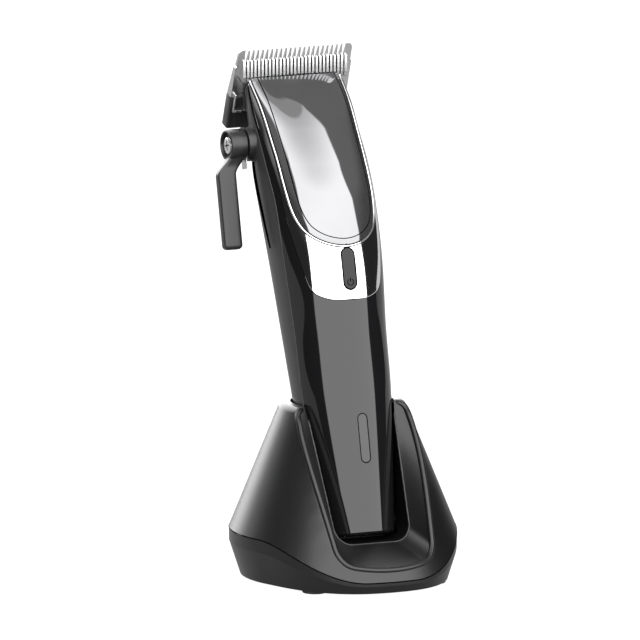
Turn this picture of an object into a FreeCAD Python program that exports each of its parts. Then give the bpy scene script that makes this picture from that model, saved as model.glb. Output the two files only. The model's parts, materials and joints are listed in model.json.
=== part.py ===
import FreeCAD, Part
import math
import os

# Cordless hair clipper standing in a round charging dock.
# Millimetres, +Z up, controls facing -Y, origin on the floor under the middle of the whole object.
# The clipper is drawn upright in its own frame, then leaned back into the dock.

V = FreeCAD.Vector

# ---- driving dimensions -------------------------------------------------------------
dock_forward = 5.33         # the dock's centre stands this far in front of the origin

# dock
foot_height = 1.1
foot_radius = 4.5
foot_places = ((55, 31.5), (125, 31.5), (230, 36.5), (310, 36.5))   # bearing and ring
dock_height = 62.8          # above the feet
dock_side_radius = 41.1     # plan radius at the sides and back
dock_front_reach = 5.2      # how much further the front of the plan stands out
dock_wall_slope = 0.4053    # growth of radius per mm going down
dock_seam_side = 17.0       # height of the crease at the sides
dock_seam_drop = 0.25       # seam runs this far below the crease
dock_wall = 2.2
dock_chamfer_slope = 0.33
dock_bottom_inset = 4.0     # bottom outline inside the side radius
dock_shoulder = 3.0
base_plate = 2.0
apron_outer = dict(top=23.0, low=21.0, floor=8.0, corner=6.0, y_low=-44.7, lean=0.6856)
apron_inner = dict(top=17.3, low=15.0, floor=15.1, corner=6.5, y_low=-28.5, lean=0.4766)
apron_overrun = 0.18        # apron faces run this share past the outer outline
cup_wall = 1.8
pocket_gap = 0.9            # clipper to pocket wall
seat_gap = 0.1              # clipper end to pocket floor
pocket_reach_back = 13.0
boss_radius = 3.4
boss_ring = 31.0
boss_angles = (40, 140, 220, 320)
screw_radius = 1.3
screw_head_radius = 2.4
inlet_size = (9.4, 7.5, 3.6)
inlet_height = 7.0
pin_radius = 1.0
pin_fit = 0.06
pin_spacing = 8.0
pin_y = 2.0
pin_length = 7.8
pin_travel = 1.0

# clipper in its own frame: z along the body, front is -y
lean_deg = 13.0
clipper_foot = (0.0, -12.5, 14.9)     # above the feet
body_wall = 2.0
body_end = 171.0
end_cap_height = 2.2
roundness = 2.12                      # exponent of the section's outline
station_pitch = 9.0                   # spacing of the sections that the skins run through
# height, front y, widest y, back y, half width, parting line y
stations = (
    (0.0, -15.0, 0.3, 15.0, 13.5, -3.0),
    (51.0, -15.1, 1.5, 17.8, 17.9, -2.8),
    (75.0, -14.9, 3.5, 21.2, 18.9, -2.5),
    (100.0, -15.5, 5.2, 23.6, 20.3, -1.9),
    (121.5, -11.8, 8.2, 26.4, 21.2, 0.0),
    (135.0, -6.9, 11.0, 28.0, 21.3, 4.2),
    (148.0, -0.9, 13.5, 28.5, 20.4, 9.8),
    (156.0, 3.6, 15.5, 28.0, 20.2, 13.3),
    (162.0, 7.9, 17.5, 27.5, 19.7, 16.0),
    (body_end, 17.0, 21.5, 28.0, 18.9, 20.0),
)
cover_edge = ((0.0, 85.0), (8.0, 86.6), (15.4, 98.0), (17.6, 113.5), (18.5, 132.8), (19.6, 152.0))
shield_edge = ((0.0, 105.0), (8.0, 107.0), (13.4, 112.0), (16.0, 121.3), (16.7, 141.0), (17.3, 169.0))
shield_thickness = 0.8
shield_proud = 0.12
rim_width = 0.55
rim_proud = 0.3
button_size = (4.9, 15.0)
button_height = 96.2
button_gap = 0.12
button_proud = 0.25
button_depth = 3.2
button_travel = 0.6
lens_size = (3.5, 17.7)
lens_height = 34.8
lens_depth = 1.6

# inside the clipper
cell_radius = 9.0
cell_length = 65.0
cell_bottom = 8.5
cell_y = 3.0
board_y = -9.6
board_thickness = 1.2
board_half_width = 8.4
board_span = (27.0, 108.0)
motor_radius = 10.5
motor_span = (90.5, 120.0)
motor_y = 9.0
shaft_radius = 1.2
bearing_radius = 3.0
bearing_height = 2.4
crank_radius = 1.8
crank_disc_radius = 4.0
crank_disc_height = 3.6
crank_pin_radius = 1.5
crank_pin_length = 9.0
yoke_gap = 0.35

# blades, drawn in a frame whose origin is the comb's tips and whose z runs up the blade
blade_tip = (13.7, 179.1)             # y and z in the clipper frame
blade_lean = 32.7
comb_width = 46.0
comb_length = 19.25
comb_pitch = 1.83
comb_slots = 22
comb_slot_depth = 7.6
comb_tooth_tip = 0.45
comb_tooth_root = 1.0
comb_tip_thickness = 0.5
comb_back_thickness = 3.8
comb_end_step = (0.6, 7.3)
cutter_width = 41.2
cutter_tip = 4.4                      # below the comb's tips
cutter_length = 19.6
cutter_pitch = 1.43
cutter_slots = 28
cutter_slot_depth = 5.2
cutter_tooth_tip = 0.55
cutter_tooth_root = 0.75
cutter_thickness = 2.6
cutter_tip_thickness = 0.6
cutter_bevel = 5.6
blade_gap = 0.05
carrier_length = 11.5
carrier_thickness = 4.6
housing_gap = 0.6                     # housing to the front of the cutter
blade_travel = 2.0

# lever
hub_centre = (16.45, 145.2)           # y and z in the clipper frame
hub_radius = 5.8
hub_outer_x = -30.0
hub_inner_x = -23.5
lever_boss_radius = 6.3
shaft_fit = 0.06
lever_shaft_radius = 2.5
lever_shaft_inner_x = -12.6
paddle_drop = 37.8
paddle_thickness = 4.0
paddle_x = (-34.65, -27.55)


# ---- small helpers ------------------------------------------------------------------
def box(x0, x1, y0, y1, z0, z1):
    return Part.makeBox(x1 - x0, y1 - y0, z1 - z0, V(x0, y0, z0))


def rod(radius, start, end):
    start, end = V(*start), V(*end)
    along = end - start
    return Part.makeCylinder(radius, along.Length, start, along)


def spline(points, periodic=False):
    curve = Part.BSplineCurve()
    curve.interpolate([V(*p) for p in points], PeriodicFlag=periodic)
    return curve.toShape()


def line(a, b):
    return Part.makeLine(V(*a), V(*b))


def prism(edges, along):
    return Part.Face(Part.Wire(edges)).extrude(V(*along))


def polygon_prism(points, along):
    closed = [V(*p) for p in points] + [V(*points[0])]
    return Part.Face(Part.makePolygon(closed)).extrude(V(*along))


def placed(shape, placement):
    copy = shape.copy()
    copy.Placement = placement.multiply(copy.Placement)
    return copy


def biggest(shape):
    return max(shape.Solids, key=lambda s: s.Volume)


def pill(half_width, half_height, centre_z, y0, y1):
    straight = half_height - half_width
    block = box(-half_width, half_width, y0, y1, centre_z - straight, centre_z + straight)
    for z in (centre_z - straight, centre_z + straight):
        block = block.fuse(rod(half_width, (0, y0, z), (0, y1, z)))
    return block.removeSplitter()


def smooth_step(t):
    t = min(max(t, 0.0), 1.0)
    return t * t * (3 - 2 * t)


# ---- dock outlines ------------------------------------------------------------------
def front_share(angle_deg):
    # one at the front of the plan, none from the sides to the back
    return smooth_step((72.0 - abs(angle_deg)) / 60.0)


def plan_wire(radius_at, z, steps=48):
    points = []
    for i in range(steps):
        a = 360.0 * i / steps - 180.0
        r = radius_at(a)
        points.append((r * math.sin(math.radians(a)), -r * math.cos(math.radians(a)), z))
    return Part.Wire([spline(points, periodic=True)])


def plan_radius(angle):
    return dock_side_radius + dock_front_reach * front_share(angle)


def bottom_radius(angle):
    inset = dock_bottom_inset * (1 - 0.78 * front_share(angle))
    return plan_radius(angle) - inset


def cone_radius(z):
    return dock_side_radius + (dock_seam_side - z) * dock_wall_slope


def cone_height(radius):
    return dock_seam_side - (radius - dock_side_radius) / dock_wall_slope


def dock_body(inset):
    """Tapered round body, inset all round by the given wall."""
    slant = inset * math.hypot(1, dock_wall_slope)
    top = dock_height - inset
    cone = Part.makeCone(cone_radius(0) - slant, cone_radius(top) - slant, top)
    if inset == 0:
        rim = [e for e in cone.Edges if abs(e.BoundBox.ZMin - top) < 1e-6 and e.BoundBox.ZLength < 1e-6]
        cone = cone.makeFillet(dock_shoulder, rim)
    plan = Part.Face(plan_wire(lambda a: plan_radius(a) - inset, 0)).extrude(V(0, 0, dock_height))
    rise = 30.0
    grow = rise * dock_chamfer_slope
    skirt = Part.makeLoft([plan_wire(lambda a: bottom_radius(a) - inset, 0),
                           plan_wire(lambda a: bottom_radius(a) - inset + grow, rise)], True, True)
    skirt = skirt.fuse(Part.makeCylinder(2 * dock_side_radius, dock_height, V(0, 0, rise)))
    return biggest(cone.common(plan).common(skirt))


def seam_block():
    """Everything below the wavy seam between the dock's shell and its base."""
    reach = 2 * dock_side_radius
    points = []
    for angle in (0, 14, 24, 34, 44, 54, 64, 74):
        r = plan_radius(angle)
        points.append((-reach, -r * math.cos(math.radians(angle)), cone_height(r) - dock_seam_drop))
    front, back = points[0], points[-1]
    low_front = (-reach, -reach, front[2])
    level_back = (-reach, reach, back[2])
    edges = [line((-reach, -reach, -5), low_front), line(low_front, front), spline(points),
             line(back, level_back), line(level_back, (-reach, reach, -5)),
             line((-reach, reach, -5), (-reach, -reach, -5))]
    return prism(edges, (2 * reach, 0, 0))


def apron_wire(u, grow, y_shift):
    """U-shaped outline on a leaning plane, open end carried above the dock."""
    high = dock_height + 12.0

    def place(x, z):
        return (x, u["y_low"] + (z - u["floor"]) * u["lean"] + y_shift, z)

    low_z = u["floor"] - grow
    half_low = u["low"] + grow
    half_high = half_low + (u["top"] - u["low"]) * (high - low_z) / (dock_height - low_z)
    r = u["corner"] + grow
    k = r * (1 - math.sqrt(0.5))
    left = [place(-half_high, high), place(-half_low, low_z + r)]
    corner_l = [left[1], place(-half_low + k, low_z + k), place(-half_low + r, low_z)]
    corner_r = [place(half_low - r, low_z), place(half_low - k, low_z + k), place(half_low, low_z + r)]
    right = [corner_r[2], place(half_high, high)]
    arc_l = Part.Arc(*[V(*p) for p in corner_l]).toShape()
    arc_r = Part.Arc(*[V(*p) for p in corner_r]).toShape()
    return Part.Wire([line(*left), arc_l, line(corner_l[2], corner_r[0]), arc_r,
                      line(*right), line(right[1], left[0])])


def beyond(inner, outer, share):
    return {key: outer[key] + (outer[key] - inner[key]) * share for key in outer}


def apron_space(grow):
    outer = beyond(apron_inner, apron_outer, apron_overrun)
    outer["corner"] = apron_outer["corner"]
    funnel = Part.makeLoft([apron_wire(outer, grow, 0), apron_wire(apron_inner, grow, 0)], True, True)
    mouth = Part.makeLoft([apron_wire(outer, grow, -dock_side_radius), apron_wire(outer, grow, 0)], True, True)
    trough = Part.makeLoft([apron_wire(apron_inner, grow, 0),
                            apron_wire(apron_inner, grow, pocket_reach_back)], True, True)
    return funnel.fuse(mouth), trough


# ---- clipper sections ---------------------------------------------------------------
def between(a, b, c, d, z):
    """Smooth value at z between knots b and c, with a and d as the knots outside them."""
    span = c[0] - b[0]
    t = (z - b[0]) / span
    values = []
    for k in range(1, len(b)):
        slope_b = (c[k] - a[k]) / (c[0] - a[0]) * span
        slope_c = (d[k] - b[k]) / (d[0] - b[0]) * span
        values.append(b[k] * (1 + t * t * (2 * t - 3)) + c[k] * t * t * (3 - 2 * t)
                      + slope_b * t * (1 - t) ** 2 + slope_c * t * t * (t - 1))
    return (z,) + tuple(values)


def station_at(z):
    last = len(stations) - 2
    i = 0
    while i < last and z > stations[i + 1][0]:
        i += 1
    a = stations[max(i - 1, 0)]
    d = stations[min(i + 2, len(stations) - 1)]
    return between(a, stations[i], stations[i + 1], d, z)


def level_stations(low, high):
    count = max(2, round((high - low) / station_pitch))
    return [station_at(low + (high - low) * i / count) for i in range(count + 1)]


def half_point(w, y_mid, depth, angle):
    """Point on one half of a section; angle 0 is the centre line, 90 the widest place."""
    s, c = math.sin(angle), math.cos(angle)
    x = w * math.copysign(abs(s) ** (2 / roundness), s)
    y = y_mid + depth * abs(c) ** (2 / roundness)
    return x, y


def front_arc(st, inset, count=15):
    z, y_front, y_mid, y_back, w, y_part = st
    depth = y_mid - y_front - inset
    limit = math.acos(min(1.0, max(0.0, (y_mid - y_part) / depth)) ** (roundness / 2))
    points = []
    for i in range(count):
        a = limit * (2.0 * i / (count - 1) - 1)
        x, y = half_point(w - inset, y_mid, -depth, a)
        points.append((x, y, z))
    return points


def back_arc(st, inset, count=9):
    z, y_front, y_mid, y_back, w, y_part = st
    depth_f = y_mid - y_front - inset
    depth_b = y_back - y_mid - inset
    limit = math.acos(min(1.0, max(0.0, (y_mid - y_part) / depth_f)) ** (roundness / 2))
    points = []
    for i in range(3):
        x, y = half_point(w - inset, y_mid, -depth_f, limit + (math.pi / 2 - limit) * i / 3)
        points.append((x, y, z))
    for i in range(2 * count + 1):
        x, y = half_point(w - inset, y_mid, depth_b, math.pi / 2 * (1 - i / count))
        points.append((x, y, z))
    for i in (2, 1, 0):
        x, y = half_point(w - inset, y_mid, -depth_f, limit + (math.pi / 2 - limit) * i / 3)
        points.append((-x, y, z))
    return points


def crescent(arc, outer, inner):
    """Closed strip between two insets of the same arc, lofted through every station."""
    wires = []
    for st in level_stations(0.0, body_end):
        a, b = arc(st, outer), arc(st, inner)
        wires.append(Part.Wire([spline(a), line(a[-1], b[-1]), spline(b[::-1]), line(b[0], a[0])]))
    return Part.makeLoft(wires, True, False)


def full_body(inset, low, high):
    """Whole section as one solid between two heights; straight below the body's end."""
    wires = []
    for st in level_stations(low, high):
        if st[0] < 0:
            st = (st[0],) + stations[0][1:]
        split = st[:5] + (st[2],)
        front = front_arc(split, inset)
        back = back_arc(split, inset)[3:-3]
        wires.append(Part.Wire([spline(front), spline(back)]))
    return Part.makeLoft(wires, True, False)


def mirrored_edge(half, top_z, grow):
    """Outline symmetric about x = 0 through the half's points, closed above."""
    low = half[0]
    right = [(x + grow, 0, z) for x, z in half[1:]]
    left = [(-x, y, z) for x, y, z in reversed(right)]
    points = left + [(low[0], 0, low[1] - grow)] + right
    a, b = points[0], points[-1]
    return [spline(points), line(b, (b[0], 0, top_z)), line((b[0], 0, top_z), (a[0], 0, top_z)),
            line((a[0], 0, top_z), a)]


def edge_prism(half, grow=0.0):
    solid = prism(mirrored_edge(half, body_end + 10, grow), (0, 60, 0))
    solid.translate(V(0, -40, 0))
    return solid


# ---- placements ---------------------------------------------------------------------
on_feet = FreeCAD.Placement(V(0, -dock_forward, foot_height), FreeCAD.Rotation())
in_dock = FreeCAD.Placement(V(*clipper_foot), FreeCAD.Rotation(V(1, 0, 0), -lean_deg))
lean = on_feet.multiply(in_dock)
blade_place = FreeCAD.Placement(V(0, blade_tip[0], blade_tip[1]),
                                FreeCAD.Rotation(V(1, 0, 0), blade_lean))

parts = {}


def keep(name, shape, placement):
    parts[name] = placed(shape, placement)


def fit_inside(name, *walls):
    for wall in walls:
        parts[name] = biggest(parts[name].cut(parts[wall]))


# ---- dock ---------------------------------------------------------------------------
def make_dock():
    outer = dock_body(0)
    inner = dock_body(dock_wall)
    below = seam_block()
    funnel, trough = apron_space(0)
    funnel_out, trough_out = apron_space(cup_wall)
    pocket_top = dock_height / math.cos(math.radians(lean_deg)) + 10
    tube = placed(full_body(-pocket_gap, -6.0, pocket_top), in_dock)
    tube_out = placed(full_body(-pocket_gap - cup_wall, -6.0, pocket_top), in_dock)
    floor_cut = placed(box(-60, 60, -60, 60, -40, -seat_gap), in_dock)
    floor_cut_out = placed(box(-60, 60, -60, 60, -40, -seat_gap - cup_wall), in_dock)
    hollow = funnel.fuse(trough).fuse(tube.cut(floor_cut))
    cup_block = funnel_out.fuse(trough_out).fuse(tube_out.cut(floor_cut_out))

    shell = biggest(outer.cut(inner).cut(below).cut(cup_block))
    cup = biggest(cup_block.common(outer).cut(hollow).cut(below.common(outer.cut(inner))))

    plate_top = base_plate
    tray = outer.common(below)
    tray_hollow = inner.common(box(-60, 60, -60, 60, plate_top, dock_height))
    base = biggest(tray.cut(tray_hollow).cut(cup_block))

    screws = []
    for angle in boss_angles:
        x = boss_ring * math.cos(math.radians(angle))
        y = boss_ring * math.sin(math.radians(angle))
        boss = rod(boss_radius, (x, y, plate_top), (x, y, plate_top + 4.5))
        base = base.fuse(boss)
        base = base.cut(rod(screw_radius, (x, y, -1), (x, y, plate_top + 5)))
        base = base.cut(rod(screw_head_radius, (x, y, -1), (x, y, 1.2)))
        head = rod(screw_head_radius - 0.1, (x, y, 0.2), (x, y, 1.2))
        cross = box(x - 1.2, x + 1.2, y - 0.25, y + 0.25, 0, 0.8)
        cross = cross.fuse(box(x - 0.25, x + 0.25, y - 1.2, y + 1.2, 0, 0.8))
        screws.append(head.fuse(rod(screw_radius - 0.05, (x, y, 1.2), (x, y, plate_top + 4.5))).cut(cross))

    feet = []
    for angle, ring in foot_places:
        x = ring * math.cos(math.radians(angle))
        y = ring * math.sin(math.radians(angle))
        pad = rod(foot_radius, (x, y, -foot_height), (x, y, 0.0))
        feet.append(pad.makeFillet(0.5, [e for e in pad.Edges
                                         if e.BoundBox.ZMax < -foot_height + 1e-6]))

    width, depth, height = inlet_size
    mouth_y = bottom_radius(180) + 1.5
    inlet = box(-width / 2, width / 2, mouth_y - depth, mouth_y - 0.8,
                inlet_height - height / 2, inlet_height + height / 2)
    opening = box(-width / 2 + 0.6, width / 2 - 0.6, mouth_y - depth + 1.5, mouth_y + 6,
                  inlet_height - height / 2 + 0.6, inlet_height + height / 2 - 0.6)
    base = base.cut(box(-width / 2 - 0.1, width / 2 + 0.1, mouth_y - depth, mouth_y + 6,
                        inlet_height - height / 2 - 0.1, inlet_height + height / 2 + 0.1))
    tongue = box(-width / 2 + 1.4, width / 2 - 1.4, mouth_y - depth + 1.5, mouth_y - 2.0,
                 inlet_height - 0.35, inlet_height + 0.35)
    inlet = inlet.cut(opening).fuse(tongue)

    board_z = inlet_height - height / 2 - 1.4
    board = box(-13, 13, mouth_y - depth - 14, mouth_y - 6.0, board_z, board_z + 1.3)
    board_posts = [box(sx - 1, sx + 1, y - 1, y + 1, plate_top, board_z)
                   for sx in (-10, 10) for y in (mouth_y - depth - 11, mouth_y - 7)]
    for post in board_posts:
        base = base.fuse(post)

    ballast = Part.makeCylinder(24, 3.4, V(0, -6, plate_top)).cut(
        box(-60, 60, 6, 60, 0, 20))

    pins, springs = [], []
    guide_top = -seat_gap - cup_wall
    guide_depth = 5.4
    bar = box(-pin_spacing / 2 - 3, pin_spacing / 2 + 3, pin_y - 2.6, pin_y + 2.6,
              guide_top - guide_depth, guide_top)
    for x in (-pin_spacing / 2, pin_spacing / 2):
        bore = rod(pin_radius + pin_fit, (x, pin_y, -20), (x, pin_y, 2))
        cup = cup.cut(placed(bore, in_dock))
        well = rod(pin_radius + 0.9, (x, pin_y, guide_top - guide_depth + 1.0), (x, pin_y, guide_top - 0.7))
        bar = bar.cut(bore).cut(well)
        top = -0.05
        pin = rod(pin_radius, (x, pin_y, top - pin_length), (x, pin_y, top - 0.4))
        tip = Part.makeCone(pin_radius, pin_radius * 0.55, 0.4, V(x, pin_y, top - 0.4))
        collar = rod(pin_radius + 0.55, (x, pin_y, guide_top - 1.3), (x, pin_y, guide_top - 0.75))
        pins.append(pin.fuse(tip).fuse(collar))
        coil_low = guide_top - guide_depth + 1.05
        coil = rod(pin_radius + 0.6, (x, pin_y, coil_low), (x, pin_y, guide_top - 1.35 - pin_travel))
        springs.append(coil.cut(rod(pin_radius + 0.15, (x, pin_y, -20), (x, pin_y, 2))))

    keep("dock_shell", shell, on_feet)
    keep("dock_cup", biggest(cup), on_feet)
    keep("dock_base", biggest(base), on_feet)
    keep("dock_feet", Part.Compound(feet), on_feet)
    keep("dock_screws", Part.Compound(screws), on_feet)
    keep("dock_power_inlet", inlet, on_feet)
    keep("dock_circuit_board", board, on_feet)
    keep("dock_ballast_plate", ballast, on_feet)
    keep("dock_pin_guide", bar, lean)
    keep("dock_contact_pins", Part.Compound(pins), lean)
    keep("dock_pin_springs", Part.Compound(springs), lean)


# ---- clipper casing -----------------------------------------------------------------
def in_blade_frame(shape):
    return placed(shape, blade_place)


def head_cuts():
    front = -(cutter_thickness + blade_gap + housing_gap)
    top = in_blade_frame(box(-40, 40, front, 60, -26, 40))
    rear = in_blade_frame(box(-40, 40, -0.35, 60, -comb_length - carrier_length - blade_travel - 0.6, 40))
    slot = in_blade_frame(box(-17.2, -12.8, -9, 1, -comb_length - carrier_length - blade_travel - 0.6, -22))
    return top.fuse(rear), slot


def make_casing():
    cuts, slot = head_cuts()
    front_skin = crescent(front_arc, 0, body_wall)
    back_skin = crescent(back_arc, 0, body_wall)
    cap_zone = box(-40, 40, -40, 40, -1, end_cap_height)

    rim_layer = crescent(front_arc, -rim_proud, shield_thickness)
    shield_layer = crescent(front_arc, -shield_proud, shield_thickness)
    tool_layer = crescent(front_arc, -2.0, shield_thickness)

    cover_zone = edge_prism(cover_edge)
    rim_zone = edge_prism(shield_edge, rim_width)
    shield_zone = edge_prism(shield_edge)

    button_hole = pill(button_size[0] / 2 + button_gap, button_size[1] / 2 + button_gap,
                       button_height, -30, board_y)
    lens_zone = pill(lens_size[0] / 2, lens_size[1] / 2, lens_height, -30, 0)

    panel = front_skin.cut(cap_zone).cut(cuts)
    cover = biggest(panel.common(cover_zone).cut(tool_layer.common(rim_zone)).cut(button_hole))
    lens_band = crescent(front_arc, 0, lens_depth)
    lower = biggest(panel.cut(cover_zone))
    lens = biggest(lens_band.common(lens_zone))
    lower = biggest(lower.cut(crescent(front_arc, -1.0, lens_depth).common(lens_zone)))

    shield = biggest(shield_layer.common(shield_zone).cut(cuts))
    rim = rim_layer.common(rim_zone.cut(shield_zone)).cut(cuts)

    y, z = hub_centre
    boss_hole = rod(lever_boss_radius, (-40, y, z), (-14, y, z))
    back = biggest(back_skin.cut(cap_zone).cut(cuts).cut(slot).cut(boss_hole))
    boss = rod(lever_boss_radius, (hub_inner_x + 0.3, y, z), (-17.0, y, z))
    boss = boss.cut(rod(lever_shaft_radius + shaft_fit, (-40, y, z), (-10, y, z)))

    screws = []
    for x, zz in ((-6.5, 22.0), (6.5, 22.0), (0.0, 82.0)):
        surface_y = station_at(zz)[3] - 0.04 * x * x
        back = back.cut(rod(2.2, (x, 4, zz), (x, 60, zz)))
        screws.append(rod(2.1, (x, surface_y - 2.6, zz), (x, surface_y - 0.9, zz)))

    cap = full_body(0, 0.0, 18.0).common(cap_zone.common(box(-40, 40, -40, 40, 0, 10)))
    cap = biggest(cap)
    low_edge = [e for e in cap.Edges if e.BoundBox.ZMax < 1e-6]
    cap = cap.makeChamfer(0.9, low_edge)
    contacts = []
    for x in (-pin_spacing / 2, pin_spacing / 2):
        pad = rod(2.0, (x, pin_y, 0), (x, pin_y, end_cap_height + 0.8))
        contacts.append(pad)
        cap = cap.cut(rod(2.0, (x, pin_y, -1), (x, pin_y, 5)))

    keep("front_shell", lower, lean)
    keep("chrome_cover", cover, lean)
    keep("head_shield", shield, lean)
    keep("shield_rim", biggest(rim), lean)
    keep("back_shell", biggest(back), lean)
    keep("lever_boss", boss, lean)
    keep("casing_screws", Part.Compound(screws), lean)
    keep("end_cap", cap, lean)
    keep("charging_contacts", Part.Compound(contacts), lean)
    keep("indicator_lens", lens, lean)


def make_controls():
    front_y = stations[3][1]
    outer = front_y - button_proud
    body = pill(button_size[0] / 2, button_size[1] / 2, button_height, outer, outer + button_depth)
    inner = outer + button_depth
    spring_z = button_height - 4.2
    switch_z = button_height + 1.5
    spring = rod(1.5, (0, inner + button_travel + 0.05, spring_z), (0, board_y, spring_z))
    spring = spring.cut(rod(1.0, (0, -30, spring_z), (0, 0, spring_z)))
    plunger_y = inner + button_travel + 0.1
    switch = box(-2.3, 2.3, plunger_y + 0.9, board_y, switch_z - 2.3, switch_z + 2.3)
    switch = switch.fuse(rod(0.9, (0, plunger_y, switch_z), (0, plunger_y + 1.0, switch_z)))
    board = box(-board_half_width, board_half_width, board_y, board_y + board_thickness, *board_span)
    light = box(-1.2, 1.2, board_y - 1.6, board_y, lens_height - 2.0, lens_height + 2.0)
    keep("power_button", body, lean)
    keep("button_spring", spring, lean)
    keep("button_switch", switch, lean)
    keep("circuit_board", board, lean)
    keep("indicator_light", light, lean)


# ---- drive --------------------------------------------------------------------------
def make_drive():
    cell = rod(cell_radius, (0, cell_y, cell_bottom), (0, cell_y, cell_bottom + cell_length))
    nub_r = cell_radius * 0.35
    cell_top = cell_bottom + cell_length
    cell = cell.fuse(rod(nub_r, (0, cell_y, cell_top), (0, cell_y, cell_top + 1.2)))

    low, high = motor_span
    can = rod(motor_radius, (0, motor_y, low), (0, motor_y, high))
    can = can.fuse(rod(bearing_radius, (0, motor_y, high), (0, motor_y, high + bearing_height)))
    can = can.cut(rod(shaft_radius + shaft_fit, (0, motor_y, high - 12), (0, motor_y, high + 10)))

    plate_low = cell_top + 1.3
    plate_high = high
    frame = box(-12, 12, -6, 16, plate_low, plate_low + 2.2)
    top_plate = box(-13.4, 13.4, -3, 19.5, plate_high, plate_high + 2.0)
    top_plate = top_plate.cut(rod(bearing_radius + 0.1, (0, motor_y, 0), (0, motor_y, 200)))
    frame = frame.fuse(top_plate)
    for side in (-1, 1):
        inner_x, outer_x = side * (motor_radius + 0.3), side * (motor_radius + 2.6)
        x0, x1 = min(inner_x, outer_x), max(inner_x, outer_x)
        frame = frame.fuse(box(x0, x1, 5, 13, plate_low, plate_high))
    seat = box(-6, 6, 3, 15, plate_low + 2.2, low)
    frame = frame.fuse(seat)
    tongue = box(-3, 3, board_y + board_thickness + 0.05, -5.9, plate_low, plate_low + 2.2)
    frame = frame.fuse(tongue)

    shaft_low = high - 11.5
    disc_low = high + bearing_height + 0.3
    disc_high = disc_low + crank_disc_height
    pin_y0 = motor_y - crank_radius
    crank = rod(shaft_radius, (0, motor_y, shaft_low), (0, motor_y, disc_low))
    crank = crank.fuse(rod(crank_disc_radius, (0, motor_y, disc_low), (0, motor_y, disc_high)))
    crank = crank.fuse(rod(crank_pin_radius, (0, pin_y0, disc_high),
                           (0, pin_y0, disc_high + crank_pin_length)))

    fork_low = disc_high + 1.0
    fork_high = disc_high + crank_pin_length
    swing_back = motor_y - crank_radius * 0.5
    reach = crank_pin_radius + yoke_gap
    fork = box(-4.2, 4.2, pin_y0 - reach - 1.6, swing_back + reach + 1.6, fork_low, fork_high)
    fork = fork.cut(box(-reach, reach, pin_y0 - reach, swing_back + reach, 0, 200))
    stem_y = swing_back + reach
    bridge_z = 155.6
    stem = box(-4.2, 4.2, stem_y, stem_y + 1.6, fork_low, bridge_z + 2.4)
    bridge = box(-3.2, 3.2, stem_y, 22.9, bridge_z, bridge_z + 2.4)
    front = -(cutter_thickness + blade_gap)
    pad = in_blade_frame(box(-8, 8, front - 2.0, front, -23.8, -17.5))
    yoke = fork.fuse(stem).fuse(bridge).fuse(pad)

    bracket_z = 149.6
    bracket = box(-11.0, 13.0, 3.5, 21.5, bracket_z, bracket_z + 1.8)
    bracket = bracket.fuse(box(13.0, 17.0, 9.5, 17.5, bracket_z, bracket_z + 1.8))
    bracket = bracket.cut(box(-6.4, 6.4, 2, stem_y + 3.6, bracket_z - 1, bracket_z + 3))

    springs = []
    for side in (-1, 1):
        x = side * 9.0
        foot = (x, 14.0, bracket_z + 1.8 + 0.6)
        elbow = (x, 18.2, bracket_z + 7.4)
        wire = rod(0.6, foot, elbow)
        springs.append(wire.fuse(Part.makeSphere(0.6, V(*elbow))))
    keep("battery_cell", cell, lean)
    keep("motor_can", can, lean)
    keep("motor_cradle", biggest(frame), lean)
    keep("motor_crank", crank, lean)
    keep("drive_yoke", biggest(yoke), lean)
    keep("head_bracket", bracket, lean)
    fit_inside("head_bracket", "chrome_cover", "head_shield", "back_shell")
    fit_inside("motor_cradle", "back_shell")
    keep("blade_tension_springs", Part.Compound(springs), lean)


# ---- blades -------------------------------------------------------------------------
def comb_outline(width, tip, foot, slots, pitch, depth, tooth_tip, tooth_root, step=None):
    """Blade outline in the x-z plane: straight sides, tapered slots cut from the tip edge."""
    half = width / 2
    points = [(-half, 0, foot)]
    if step:
        inset, drop = step
        points += [(-half, 0, tip - drop), (-half + inset, 0, tip - drop)]
        points += [(-half + inset, 0, tip - 1.6), (-half + inset + 1.2, 0, tip)]
    else:
        points += [(-half, 0, tip)]
    for i in range(slots):
        x = (i - (slots - 1) / 2) * pitch
        mouth = (pitch - tooth_tip) / 2
        root = (pitch - tooth_root) / 2
        points += [(x - mouth, 0, tip), (x - root, 0, tip - depth),
                   (x + root, 0, tip - depth), (x + mouth, 0, tip)]
    if step:
        points += [(half - inset - 1.2, 0, tip), (half - inset, 0, tip - 1.6)]
        points += [(half - inset, 0, tip - drop), (half, 0, tip - drop)]
    else:
        points += [(half, 0, tip)]
    points.append((half, 0, foot))
    return points


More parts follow.
